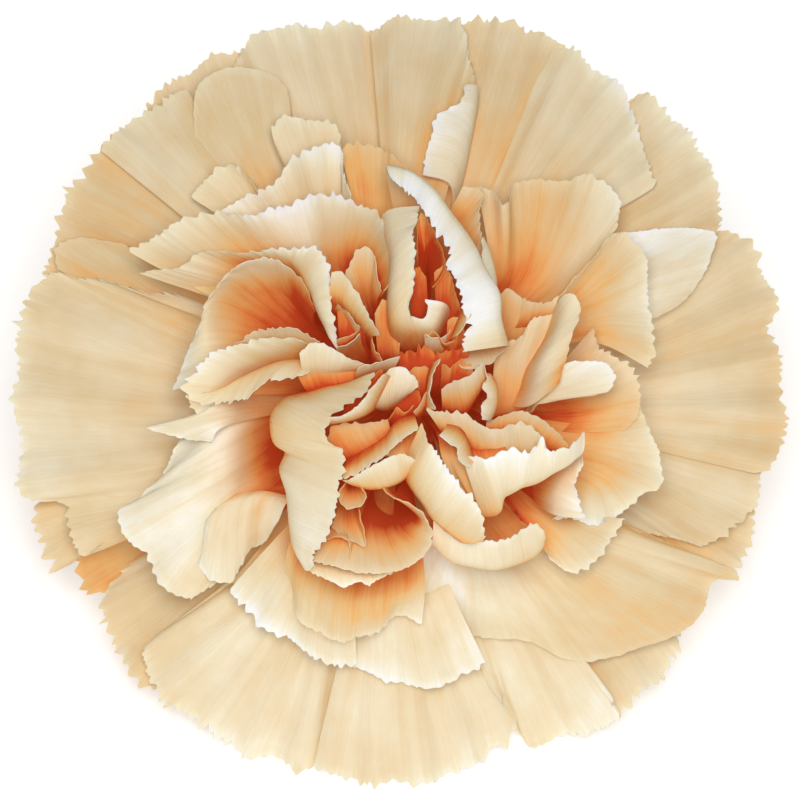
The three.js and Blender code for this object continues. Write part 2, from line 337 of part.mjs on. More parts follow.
    [[6.2, -6.6, 24.5], [7, -5.8, 25], [9, -5.9, 25.2], [11.1, -5, 25], [12.8, -5.4, 24.6], [13.9, -4.1, 24.3],
      [14.7, -5.3, 24], [16.6, -4.9, 23], [18.2, -3.3, 21.5]],
    [0.35, 0.2, 4]],
  ["m9", [1, -1.6],
    [[0, -3.5, 10], [1, -5, 10], [2.5, -6.5, 10], [4, -7.5, 10]],
    [[0, -6.5, 21.8], [0.8, -8.2, 22.2], [2.2, -10.4, 22], [3.8, -12.4, 21.4], [5.4, -13.8, 20.4], [6.6, -14.4, 19.6],
      [7.9, -14.2, 19.2]],
    [[1.9, -2.5, 26], [2.6, -4.2, 26], [3.5, -5.6, 25.7], [4.4, -7, 25.3], [5.6, -8.4, 24.4], [7, -10.1, 23.2],
      [7.9, -11.6, 21.8], [8.2, -13.9, 20]],
    [0.35, 0.2, 3]],
  ["m12", [1.8, -1.2],
    [[4.4, -2.9, 24.5], [5.8, -3.4, 24.3], [6.6, -4.8, 24], [7, -6, 23.6]],
    [[3.7, -3.7, 26], [4.4, -4.3, 26], [5.3, -4.7, 25.8], [5.8, -6.3, 25.6], [6.8, -7, 25.4]],
    [0.2, 0.1, 2]],
  ["m6b", [-1.6, -2],
    [[-5, -7.5, 20], [-5.4, -8.4, 19.5], [-5, -9, 19], [-4.2, -8.6, 19.5], [-3.8, -7.8, 20]],
    [[-5.9, -8.6, 22.5], [-6.3, -9.8, 22], [-5.4, -10.9, 21.8], [-4.2, -10.8, 22], [-3.6, -9.6, 22.4],
      [-4.2, -8.7, 22.8]],
    [0.2, 0.1, 2]],
  ["m6c", [-1.8, -2.2],
    [[-6, -10, 15], [-5.2, -10.5, 15.5], [-4.6, -10.3, 16], [-4.3, -9.6, 16.5]],
    [[-7, -12.8, 19], [-5.2, -14.1, 19.5], [-3.6, -14.8, 19.5], [-3.9, -13, 20], [-4.2, -11.2, 20.5]],
    [0.1, 0.1, 2]],
  ["m22", [-1, 2],
    [[-4.4, 10.4, 15.6], [-3.9, 11, 15.8], [-3.2, 10.8, 16], [-2.5, 9.6, 16.2]],
    [[-5.6, 12, 17], [-5, 13.7, 17.2], [-4.1, 15, 17.3], [-2.9, 14.5, 17.6], [-2.5, 12.5, 18], [-2.1, 10.6, 18]],
    [0.1, 0.1, 2]],
  ["m22b", [-0.4, 1.8],
    [[-2.4, 4.4, 17], [-1.6, 4.6, 17], [-0.9, 4.4, 17], [-0.3, 3.8, 16.8]],
    [[-2.7, 8.4, 19], [-1.9, 9.8, 19.5], [-1.2, 9.3, 19.5], [-0.8, 7.5, 19], [-0.2, 5.5, 18]],
    [0.1, 0.1, 2]],
  ["m21", [-1, 1.6],
    [[-7.1, 10.2, 21.5], [-6.2, 9.8, 21.5], [-5.3, 8.9, 21.5], [-4.4, 7.9, 21.4], [-3.6, 6.8, 21], [-3, 6.1, 20.5]],
    [[-7, 12.4, 22.8], [-5.8, 12.3, 23.2], [-4.8, 10.9, 23.6], [-3.8, 9.2, 23.5], [-2.9, 7.5, 23], [-2.3, 6.2, 22]],
    [0.15, 0.1, 2]],
  ["m21b", [-1.2, 1.4],
    [[-6.9, 8.9, 19], [-5.8, 7.9, 19], [-5, 7, 19], [-4.6, 6.2, 18.8]],
    [[-7, 9.9, 20.5], [-5.9, 9, 20.8], [-5, 8, 21], [-4.2, 6.9, 20.5]],
    [0.15, 0.1, 2]],
  ["m21c", [-1.4, 1.2],
    [[-6.5, 4.9, 18.5], [-5.2, 5.4, 18.5], [-4.2, 6.1, 18]],
    [[-6.6, 5.6, 20], [-5.4, 6.1, 20], [-4.1, 6.7, 19.5]],
    [0.1, 0.1, 1]],
  ["m21d", [-1, 1.4],
    [[-3.1, 5.6, 18], [-2.9, 4.2, 17.5], [-2.3, 3.4, 17]],
    [[-3.2, 6.9, 20], [-2.7, 5, 19.5], [-2, 3.6, 18.5]],
    [0.1, 0.1, 1]],
  ["m20l", [2, 2],
    [[1.9, 10.5, 15.5], [2.1, 12.5, 15.5], [2.3, 14.5, 15.5], [2.6, 14.5, 15.6], [2.9, 13, 15.8], [2.8, 11, 16]],
    [[1.6, 14, 19.5], [1.5, 17, 18.8], [1.8, 18.4, 18.6], [2.7, 17.3, 19.2], [3.5, 15.8, 20], [4.2, 14.3, 20.8],
      [4.1, 12.6, 21.4], [3, 11, 21.4]],
    [0.15, 0.1, 2]],
  ["m20", [1.2, 2.2],
    [[-1.8, 18.3, 17.2], [-1.3, 16.5, 18.8], [-0.9, 14.5, 20.2], [-1, 12, 21.2], [-1.1, 9.5, 21.6],
      [-0.8, 7.6, 21.6], [1, 6.7, 21.4], [3, 7, 21.6], [4.3, 9.4, 22]],
    [[1.6, 19.2, 18.5], [1.4, 17.5, 20], [1, 16, 21.4], [1.3, 14, 22], [1.2, 11.5, 22.6], [0.7, 9.6, 22.8],
      [0.8, 8.2, 22.6], [2.4, 8.2, 22.6], [2.3, 9.8, 22.8]],
    [0.25, 0.1, 3]],
  ["m18", [1.8, 2.6],
    [[4.2, 17, 9.5], [4.9, 16.3, 10], [5.6, 15, 10.5], [6.2, 13.5, 11]],
    [[6, 21, 11], [8, 20.6, 11.5], [7.6, 18.3, 12.5], [7.9, 16, 13.5], [7.9, 14.4, 14.5]],
    [0.2, 0.1, 2]],
  ["m19b", [2.8, 1.8],
    [[4.5, 9, 10], [5.5, 8, 10], [6.5, 6.5, 10]],
    [[8, 16, 15.5], [8.9, 14, 16.4], [9.3, 12, 17], [9.4, 10, 17.4], [9.7, 8, 17.4]],
    [[7.9, 15.8, 16.5], [8, 14, 18.2], [8.1, 12, 19], [8.3, 10, 19.6], [8.5, 8, 19.8]],
    [0.1, 0.1, 2]],
  ["m19", [2.4, 1.6],
    [[0.5, 12, 9], [2.5, 11.5, 9.5], [4.5, 10, 10], [5.8, 8, 10], [6, 5.5, 10], [5.5, 3.5, 10]],
    [[-1.6, 23.1, 15.5], [0.8, 22.6, 17.2], [3, 20.8, 18.8], [5.2, 17.9, 20.6], [7.2, 14.8, 22], [8.3, 12.5, 22.8],
      [9.4, 10.5, 23], [9.8, 7.6, 22.6], [10.4, 5.2, 21.4]],
    [[-1.2, 22, 17], [1.8, 19.2, 19.8], [3.5, 16.4, 21.8], [4.8, 14.6, 23], [4.4, 13.2, 23.8], [5.6, 11.9, 24.4],
      [5.9, 10.2, 24.8], [6.1, 8.7, 25], [6.8, 7.2, 25], [6.2, 6.2, 24.4], [6.1, 4.7, 23.4]],
    [0.4, 0.2, 4]],
  ["m24e", [3.4, 1.2],
    [[10, 5.5, 16], [8.6, 5.4, 17], [7.4, 5, 17.5], [6.3, 4.8, 17.5], [5.8, 4.2, 17.5]],
    [[10.7, 5.1, 18], [9.6, 4.2, 19], [8.6, 3.3, 20], [6.5, 2.9, 20.5], [5.7, 3.3, 20.5]],
    [0.1, 0.1, 2]],
  ["m24d", [2.8, 1.4],
    [[6.2, 8.8, 23.5], [5.6, 7.4, 23], [5, 6, 22.5]],
    [[6.9, 8.3, 25], [6.2, 7.3, 25], [5.4, 6.2, 24.5]],
    [0.1, 0.1, 1]],
  ["m24c", [2.2, 1.8],
    [[2.5, 5, 18], [3.3, 5.2, 18], [4.2, 4.8, 18], [4.8, 4.8, 18]],
    [[2.3, 6.1, 21], [3.2, 6.6, 21.5], [4.3, 5.4, 21.5], [5.3, 5.8, 21]],
    [0.15, 0.1, 2]],
  ["m25", [3.2, 0.6],
    [[4, -1, 19.5], [5, -1.2, 19.6], [6.2, -1.3, 19.8], [7.6, 0.5, 20.4], [8.6, 2.4, 21.4], [9.2, 1.4, 22],
      [9.4, 0, 22], [9.1, -1.2, 21.8], [8.7, -2.2, 21.2]],
    [[3.9, 0.8, 21], [5.2, 1.7, 21.5], [6.7, 2.2, 22], [8.1, 3.4, 23], [8.4, 2, 23.2], [7.9, 1.1, 23.2],
      [8.6, 0.2, 23.2], [7.9, -0.8, 22.8], [7.8, -2.1, 22.3]],
    [0.15, 0.1, 3]],
  ["m24", [2.4, 0.6],
    [[3.1, 3.4, 22.5], [2.7, 2, 22.6], [2.5, 0.3, 22.5], [2.5, -1, 22]],
    [[3.8, 3.9, 24], [3.2, 2.6, 24.2], [2.8, 0.5, 24], [3.3, -1.2, 23.5]],
    [0.1, 0.1, 2]],
  ["m24b", [1.8, 0],
    [[2.6, -0.4, 21], [2.2, -1.2, 21], [1.5, -1.9, 21]],
    [[2.5, 0.8, 22.5], [1.8, -0.6, 22.5], [1.2, -1.5, 22.3]],
    [0.1, 0.1, 1]],
  ["m26", [0.4, 0.8],
    [[-2.6, -0.6, 22.6], [-1.4, -0.5, 22.2], [-0.2, 0, 21.8], [0.7, 0.5, 21.8]],
    [[-2.2, 1.4, 24], [-1.4, 2.7, 24], [0.2, 3, 24], [1.4, 1.9, 23.6], [1.6, 1.1, 23.2]],
    [0.1, 0.1, 2]],
  ["m26r", [-0.6, 0.4],
    [[-1.4, 2.3, 25], [-2.6, 0.2, 25], [-3.6, -1.2, 25], [-5, -2, 24.6], [-7.3, -2.5, 24]],
    [[-1.8, 2.4, 26.4], [-3.2, 0.7, 26.6], [-4.2, -0.6, 26.6], [-5.4, -1.5, 26.2], [-7.3, -2, 25.4]],
    [0.1, 0.1, 2]],
  ["m27", [-0.4, -0.8],
    [[-6.4, -6.4, 20.2], [-4.8, -5.8, 20.4], [-3.4, -5, 20.8], [-2.2, -4.2, 21], [-1, -3.4, 21]],
    [[-7.4, -4.6, 21], [-7, -3, 21.8], [-5, -2.5, 22.2], [-3.2, -2.5, 22.4], [-1.4, -2.2, 22.6]],
    [0.15, 0.1, 2]],
  ["m27a", [0.6, -1],
    [[1.4, -2.2, 24.5], [-0.5, -2.9, 24], [-1.8, -4.5, 23.5], [-3.6, -5.8, 23.2], [-5.8, -7, 23]],
    [[1.6, -2.9, 25.5], [0.3, -3.9, 25.4], [-1, -4.9, 25], [-2.5, -6.3, 24.6], [-4.3, -7.4, 24.2], [-5.9, -7.9, 23.8]],
    [0.2, 0.1, 2]],
  ["m27b", [0.6, -1.6],
    [[1.4, -6.9, 22.5], [0, -8, 22.3], [-1.5, -8.7, 22.2], [-3.3, -9, 22], [-4.4, -8.7, 22]],
    [[1.5, -6.2, 24.5], [0, -5.6, 24.8], [-1.6, -6, 24.8], [-3.3, -7, 24.4], [-5, -7.9, 24], [-5.8, -8.2, 23.6]],
    [0.2, 0.1, 2]],
];

// ---- small helpers ----
// A repeatable random sequence, one for each petal name.
function randomFor(name) {
  let state = 7;
  for (const letter of name) state = (state * 31 + letter.charCodeAt(0)) >>> 0;
  return () => {
    state = (state * 1664525 + 1013904223) >>> 0;
    return state / 4294967296;
  };
}

function solid(points, triangles) {
  const vertProperties = new Float32Array(points.flat());
  const triVerts = new Uint32Array(triangles.flat());
  return new wasm.Manifold(new wasm.Mesh({ numProp: 3, vertProperties, triVerts, tolerance: TOLERANCE }));
}

function union(solids) {
  let made = solids[0];
  for (const other of solids.slice(1)) made = made.add(other);
  return made;
}

function largestPiece(made) {
  const pieces = made.decompose();
  return pieces.reduce((best, piece) => (piece.volume() > best.volume() ? piece : best));
}

function curveThrough(points) {
  const vectors = points.map((p) => new THREE.Vector3(...p));
  return new THREE.CatmullRomCurve3(vectors, false, "centripetal");
}

// ---- one petal blade ----
// Columns run from the claw to the rim, and the last row has twice the points, for the teeth.
function petalSurface(name, claw, stations, edge, columns, rows) {
  const random = randomFor(name);
  const [tooth, wave, waves] = edge;
  const phase = random() * Math.PI * 2;
  const curves = stations.map(curveThrough);
  const first = curves[0];
  const across = first.getPointAt(1).sub(first.getPointAt(0)).setZ(0).normalize();
  const columnAt = (u) => {
    const start = new THREE.Vector3(claw[0], claw[1], -1.2).addScaledVector(across, (u - 0.5) * 1.4);
    const through = [start, ...curves.map((curve) => curve.getPointAt(u))];
    const below = start.clone().add(new THREE.Vector3(0, 0, -5));
    const last = through[through.length - 1];
    const beyond = last.clone().multiplyScalar(1.4).addScaledVector(through[through.length - 2], -0.4);
    return new THREE.CatmullRomCurve3([below, ...through, beyond], false, "centripetal");
  };
  const pointAt = (u, v) => {
    const column = columnAt(u);
    const spans = stations.length + 2;
    return column.getPoint((1 + v * (spans - 2)) / spans);
  };
  const rowOf = (row, count) => {
    const v = row / rows;
    const points = [];
    for (let i = 0; i <= count; i++) {
      const u = i / count;
      const p = pointAt(u, v);
      const out = pointAt(u, v).sub(pointAt(u, v - 0.04)).normalize();
      const side = pointAt(Math.min(1, u + 0.03), v).sub(pointAt(Math.max(0, u - 0.03), v));
      const normal = out.clone().cross(side).normalize();
      const lift = 0.6 * wave * v * v * Math.sin(phase + u * waves * Math.PI * 2);
      p.addScaledVector(normal, lift);
      if (row === rows) {
        const size = tooth * (0.6 + 0.8 * random());
        p.addScaledVector(out, i % 2 ? size * 0.5 : -size * 0.5);
      }
      points.push({ p, normal });
    }
    return points;
  };
  const surface = [];
  for (let row = 0; row < rows; row++) surface.push(rowOf(row, columns));
  surface.push(rowOf(rows, columns * 2));
  return surface;
}

function petalSolid(name, claw, stations, edge, columns, rows) {
  const surface = petalSurface(name, claw, stations, edge, columns, rows);
  const points = [];
  const starts = [];
  for (const side of [0.5, -0.5]) {
    for (const row of surface) {
      starts.push(points.length);
      for (const { p, normal } of row) {
        points.push(p.clone().addScaledVector(normal, side * BLADE).toArray());
      }
    }
  }
  const half = points.length / 2;
  const face = [];
  for (let row = 0; row < rows - 1; row++) {
    for (let i = 0; i < columns; i++) {
      const a = starts[row] + i;
      const b = starts[row + 1] + i;
      if (i % 2) face.push([a, b, b + 1], [a, b + 1, a + 1]);
      else face.push([a, b, a + 1], [a + 1, b, b + 1]);
    }
  }
  for (let i = 0; i < columns; i++) {
    const a = starts[rows - 1] + i;
    const c = starts[rows] + 2 * i;
    face.push([a, c, c + 1], [a, c + 1, a + 1], [a + 1, c + 1, c + 2]);
  }
  const triangles = [];
  for (const [a, b, c] of face) triangles.push([a, b, c], [a + half, c + half, b + half]);
  // the edge strip follows the outline once round
  const loop = [];
  for (let i = 0; i <= columns; i++) loop.push(starts[0] + i);
  for (let row = 1; row < rows; row++) loop.push(starts[row] + columns);
  for (let i = columns * 2; i >= 0; i--) loop.push(starts[rows] + i);
  for (let row = rows - 1; row > 0; row--) loop.push(starts[row]);
  loop.forEach((a, i) => {
    const b = loop[(i + 1) % loop.length];
    triangles.push([a, b, b + half], [a, b + half, a + half]);
  });
  const made = solid(points, triangles);
  if (made.volume() > 0) return made;
  return solid(points, triangles.map(([a, b, c]) => [a, c, b]));
}

// ---- solids turned round the bloom's axis ----
// The profile runs from the axis out and back to it; each of its points may change with the angle.
function turned(profile, segments) {
  const points = [];
  const triangles = [];
  const rings = profile.length;
  points.push([0, 0, profile[0][1]]);
  for (let k = 1; k < rings - 1; k++) {
    for (let i = 0; i < segments; i++) {
      const angle = (i / segments) * Math.PI * 2;
      const [r, z] = typeof profile[k] === "function" ? profile[k](angle) : profile[k];
      points.push([r * Math.cos(angle), r * Math.sin(angle), z]);
    }
  }
  points.push([0, 0, profile[rings - 1][1]]);
  const end = points.length - 1;
  const at = (k, i) => 1 + (k - 1) * segments + (i % segments);
  for (let i = 0; i < segments; i++) {
    triangles.push([0, at(1, i + 1), at(1, i)]);
    for (let k = 1; k < rings - 2; k++) {
      triangles.push([at(k, i), at(k, i + 1), at(k + 1, i)], [at(k + 1, i), at(k, i + 1), at(k + 1, i + 1)]);
    }
    triangles.push([end, at(rings - 2, i), at(rings - 2, i + 1)]);
  }
  const made = solid(points, triangles);
  if (made.volume() > 0) return made;
  return solid(points, triangles.map(([a, b, c]) => [a, c, b]));
}

// Outside radius of the calyx at height z: widest a little below the mouth.
function calyxRadius(z) {
  const t = (z - CALYX_BOTTOM) / (0 - CALYX_BOTTOM);
  return CALYX_BASE_R + 2.0 * Math.sin(Math.min(1, t * 1.05) * Math.PI * 0.5);
}

function corolla() {
  const pieces = [];
  for (const [name, claw, ...rest] of PETALS) {
    const edge = rest[rest.length - 1];
    const stations = rest.slice(0, -1);
    const rim = curveThrough(stations[stations.length - 1]).getLength();
    const guard = name[0] === "g";
    const columns = Math.max(2, Math.min(guard ? 7 : 6, Math.round(rim / 5)));
    const rows = rim < 9.5 ? 2 : 3;
    pieces.push(petalSolid(name, claw, stations, edge, columns, rows));
  }
  const inner = (z) => calyxRadius(z) - CALYX_WALL - CALYX_GAP;
  const core = turned(
    [[0, CLAW_BOTTOM], [inner(-21), CLAW_BOTTOM], [inner(-14), -14], [inner(-5), -5], [5.24, 0.4], [5.6, 3], [4.6, 7],
      [2.2, 9], [0, 9]],
    18,
  );
  return largestPiece(union([core, ...pieces]));
}

function calyx() {
  const mouth = -4.6;
  const tip = (angle) => Math.abs(((angle * TEETH) / (Math.PI * 2)) % 1 - 0.5) * 2;
  const top = (offset) => (angle) => {
    const rise = tip(angle);
    return [calyxRadius(mouth) + 1.3 * rise - offset, mouth + 3.2 * rise];
  };
  const out = [-24, -21, -15, -9].map((z) => [calyxRadius(z), z]);
  const inside = [-9, -15, -21].map((z) => [calyxRadius(z) - CALYX_WALL, z]);
  const profile = [
    [0, CALYX_BOTTOM], [2.6, CALYX_BOTTOM], ...out, [calyxRadius(mouth), mouth - 0.4], top(0), top(0.7),
    [calyxRadius(mouth) - CALYX_WALL, mouth - 0.6], ...inside, [3.2, -22.2], [0, -22.2],
  ];
  return turned(profile, 30);
}

// Two pairs of broad pointed bracts hug the foot of the calyx.
function bract(angle, height, width, out) {
  const rows = 6;
  const columns = 4;
  const points = [];
  for (const side of [0, 1]) {
    for (let row = 0; row <= rows; row++) {
      const v = row / rows;
      const z = -25 + v * height;
      const spread = (width * (0.75 + 1.1 * v - 1.8 * v * v * v) + 0.05) / 2;
      for (let i = 0; i <= columns; i++) {
        const a = angle + ((i / columns - 0.5) * spread * 2) / 5.6;
        const r = calyxRadius(Math.max(z, -24)) + CALYX_GAP + out + side * BRACT_T + 0.25 * v * v * v;
        points.push([r * Math.cos(a), r * Math.sin(a), z + (v === 1 && i === columns / 2 ? 0.9 : 0)]);
      }
    }
  }
  const half = points.length / 2;
  const at = (row, i) => row * (columns + 1) + i;
  const triangles = [];
  for (let row = 0; row < rows; row++) {
    for (let i = 0; i < columns; i++) {
      const quad = [at(row, i), at(row, i + 1), at(row + 1, i + 1), at(row + 1, i)];
      triangles.push([quad[0], quad[2], quad[1]], [quad[0], quad[3], quad[2]]);
      triangles.push([quad[0] + half, quad[1] + half, quad[2] + half], [quad[0] + half, quad[2] + half, quad[3] + half]);
    }
  }
  const loop = [];
  for (let i = 0; i <= columns; i++) loop.push(at(0, i));
  for (let row = 1; row <= rows; row++) loop.push(at(row, columns));
  for (let i = columns - 1; i >= 0; i--) loop.push(at(rows, i));
  for (let row = rows - 1; row > 0; row--) loop.push(at(row, 0));
  loop.forEach((a, i) => {
    const b = loop[(i + 1) % loop.length];
    triangles.push([a, b, b + half], [a, b + half, a + half]);
  });
  const made = solid(points, triangles);
  if (made.volume() > 0) return made;
  return solid(points, triangles.map(([a, b, c]) => [a, c, b]));
}

function epicalyx() {
  const plate = turned([[0, -25.5], [3.2, -25.5], [5.4, -24.95], [5.9, -24.2], [4.99, -24.2], [4.6, -24.85],
    [0, -24.85]], 30);
  const quarter = Math.PI / 2;
  const pieces = [plate];
  for (let k = 0; k < 4; k++) {
    pieces.push(bract(0.5 + k * quarter, k % 2 ? 9.6 : 8.4, 6.6, k % 2 ? 0 : 0.4));
  }
  return largestPiece(union(pieces));
}

function stem() {
  return turned([[0, -44], [STEM_R, -44], [STEM_R, -38], [STEM_R, -30], [STEM_R + 0.15, -27], [STEM_R + 0.7, -25.85],
    [0, -25.85]], 24);
}

// ---- assembly: tilt the bloom, cut it flat at the table and centre it ----
function tableCut(made, height) {
  const box = new THREE.BoxGeometry(200, 200, 60).translate(0, 0, height - 30);
  const position = box.getAttribute("position");
  const corners = new Map();
  const points = [];
  const order = Array.from(box.index.array, (i) => {
    const p = [position.getX(i), position.getY(i), position.getZ(i)];
    const key = p.join(",");
    if (!corners.has(key)) {
      corners.set(key, points.length);
      points.push(p);
    }
    return corners.get(key);
  });
  const triangles = [];
  for (let i = 0; i < order.length; i += 3) triangles.push(order.slice(i, i + 3));
  return largestPiece(made.subtract(solid(points, triangles)));
}

const parts = {
  corolla: [corolla(), 0xe9c79a],
  calyx: [calyx(), 0x8fa37a],
  epicalyx: [epicalyx(), 0x7d9468],
  stem: [stem(), 0x86a070],
};
const turnedParts = {};
for (const [name, [made]] of Object.entries(parts)) turnedParts[name] = made.rotate([TILT, 0, 0]);
const table = turnedParts.corolla.boundingBox().min[2] + FLOOR_TRIM;
for (const name of ["corolla", "stem"]) turnedParts[name] = tableCut(turnedParts[name], table);

const all = Object.values(turnedParts).map((made) => made.boundingBox());
const middle = [0, 1].map((k) => {
  const low = Math.min(...all.map((box) => box.min[k]));
  const high = Math.max(...all.map((box) => box.max[k]));
  return (low + high) / 2;
});

const carnation = new THREE.Group();
carnation.name = "carnation";
for (const [name, [, color]] of Object.entries(parts)) {
  const made = turnedParts[name].translate([-middle[0], -middle[1], -table]);
  const mesh = made.getMesh();
  const geometry = new THREE.BufferGeometry();
  geometry.setAttribute("position", new THREE.BufferAttribute(mesh.vertProperties, 3));
  geometry.setIndex(new THREE.BufferAttribute(mesh.triVerts, 1));
  geometry.computeVertexNormals();
  const piece = new THREE.Mesh(geometry, new THREE.MeshStandardMaterial({ color, roughness: 0.8 }));
  piece.name = name;
  carnation.add(piece);
}

export default carnation;
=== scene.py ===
"""A cut carnation lying on a pale table, dressed over its CAD frame.

The bloom's own frame has its origin in the mouth of the calyx, z along the bloom's axis, x and y across it, in
millimetres. place() leans it and sets it down on the table, in metres.
"""
import functools
import math

import bmesh
import bpy
import numpy as np
from mathutils import Matrix, Vector
from mathutils.bvhtree import BVHTree


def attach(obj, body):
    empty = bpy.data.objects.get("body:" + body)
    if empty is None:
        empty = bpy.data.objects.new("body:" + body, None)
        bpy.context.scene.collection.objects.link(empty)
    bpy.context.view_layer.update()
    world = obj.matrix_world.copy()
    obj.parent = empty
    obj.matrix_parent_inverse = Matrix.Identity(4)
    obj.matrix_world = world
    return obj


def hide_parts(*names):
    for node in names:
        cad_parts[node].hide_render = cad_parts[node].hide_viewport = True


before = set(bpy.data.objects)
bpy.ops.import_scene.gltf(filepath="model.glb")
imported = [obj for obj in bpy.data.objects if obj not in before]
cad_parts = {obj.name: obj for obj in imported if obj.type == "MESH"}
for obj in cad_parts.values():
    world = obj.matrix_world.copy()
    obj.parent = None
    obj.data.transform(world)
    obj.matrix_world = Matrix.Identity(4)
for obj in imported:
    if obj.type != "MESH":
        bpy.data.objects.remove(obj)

bl_info = {
    "name": "Cut carnation",
    "version": (1, 0, 0),
    "blender": (4, 5, 0),
    "location": "3D View > Sidebar > Carnation",
    "description": "Petals, calyx, bracts and stem of a cut carnation, with its table and light",
    "category": "Object",
}

MM = 0.001
TILT = math.radians(36.5)  # lean of the bloom's axis from upright
SHIFT = Vector((0.184, -3.220, 28.699))  # from the leaned bloom to the part's frame, mm
UP = np.array([0, math.sin(TILT), math.cos(TILT)])  # straight up, seen in the bloom's own frame

# how the blades are built, mm
SAMPLES = 60  # points on each stretch of a station's curve
CLAW_HEIGHT, CLAW_WIDTH, CLAW_DEPTH = -1.2, 1.4, 5.0  # where a claw starts, how wide, and how far its line goes on
COLUMN = 0.27  # distance between the points along a rim
COLUMNS = (16, 280)  # fewest and most of them
# distances between the rows of points, from the rim towards the claw
ROW_STEPS = [0, 0.25, 0.25, 0.3, 0.35, 0.45, 0.6, 0.7, 0.8, 0.9, 1.0, 1.1, 1.2, 1.3, 1.4] + [1.5] * 60
LAST_STEP = 0.7  # least distance between the last two rows
CRINKLED = 7.0  # how far behind the rim a blade is crinkled
TOOTHED = 1.9  # how far behind the rim a tooth bends the blade
THINNED = 3.0  # how far behind the rim a blade grows thinner
PLEATS, CRINKLES, SWAYS, CURLS = (3.1, 5.3, 9.7), (3.4, 5.6, 9.1), (4.5, 7.5), (1.3, 2.6)  # wavelengths
WAVE, SWAY, CURL = 0.6, 0.35, 0.16  # share of a row's wave, share of its teeth, depth of the curls
INNER_PITCH = 0.85  # how much closer the teeth of the inner petals stand
HEM = 0.2  # how high the lowest blades lie over the table

# how much of the sky the petals hide round each place, for the painted shade in their colour
REACH = 9.0  # how far off a petal still shades its neighbour, mm
SKY = ((0.3, 4, 0.0), (0.75, 6, 0.5), (1.15, 7, 0.5))  # rings of rays: angle from the axis, number, start
OFF_BLADE, OFF_UP = 0.35, np.array([0, 0, 0.15])  # where a ray starts, mm from the blade
COARSE, COARSE_COLUMNS, COARSE_ROWS = 1.6, (6, 26), 7  # point distance, fewest and most columns, rows a station

# how colour runs over the petals, beside TONE_AND_SHADE and LATE
LATE_GUARD, LATE_INNER = 1.0, 1.5
JITTER = 0.03  # difference from petal to petal
OPEN_SHARE, STEEP_PAINTED_SHADE = 0.1, 0.6  # hidden share that gets no painted shade, and how much steepness adds to the painted shade
# where each colour lies on the scale of tone and painted shade
PALETTE = {"white": 0.0, "cream": 0.22, "tan": 0.48, "apricot": 0.67, "orange": 0.83, "red": 1.0}

# the claws and the green pieces, mm: profiles are pairs of radius and height in the bloom's own frame
CALYX_FOOT, CALYX_MOUTH = -24.5, -4.6
CALYX_NARROW, CALYX_SWELL = 4.6, 2.0  # radius at the foot, and how much wider it grows
TOOTH_HEIGHT, TOOTH_SPREAD = 3.2, 1.3  # of the calyx's teeth
# the edge over the teeth and back down inside: inset, share of a tooth's height
LIP = ((0, 0.0), (0.02, 0.35), (0.03, 0.7), (0.05, 1.0), (0.4, 0.99), (0.5, 0.6), (0.55, 0.2))
WALL = 0.5  # thickness of the calyx
UV_RADIUS = 5.8  # mean radius of the green pieces, for the run of their fibres
RIB_RADIUS = 0.09
# a rib's handles as (radius, height)
RIB = {"Start": (5.0, -23.2), "Start Handle": (6.35, -17.5), "End Handle": (6.6, -12.0), "End": (6.62, -5.6)}
CLAWS_INSET = 1.3  # from the outside of the calyx to the bundle of claws
CLAWS_HEAD = ((5.2, 0.4), (5.5, 2), (5.3, 4.5), (4.4, 6.6), (2.6, 8.2))
PLATE = [(0, -25.5), (2.4, -25.5), (3.2, -25.45), (4.5, -25.25), (5.4, -24.95), (5.85, -24.5), (5.9, -24.25),
         (5.3, -24.2), (5.0, -24.3), (4.7, -24.8), (0, -24.85)]
BRACT_FOOT, BRACT_WIDTH, BRACT_RADIUS = -25, 6.6, 5.6
STEM = [(0, -25.85), (2.2, -25.85), (2.62, -25.95), (2.55, -26.4), (2.3, -26.8), (2.1, -27.2), (2.02, -28),
        (1.97, -30), (1.95, -32), (1.95, -34), (1.95, -36), (1.95, -38), (1.95, -44), (0, -44)]

# the stage, m
CUT_HEIGHT = 0.00002  # of the stem's cut end over the table
LAMP_AWAY = Vector((0.01, -0.49, 0.82))  # from the bloom to the lamp
LAMP_WIDTH = 0.42
LENS, PICTURE_WIDTH = 1200, 0.080  # of the camera, mm, and of the picture where the petals lie
AIM, CENTRE = (0, 0, 6), (-0.2, -0.2, 4)  # what the lamp and the camera look at, mm in the bloom's frame
FLOOR_GLOW = 0.42

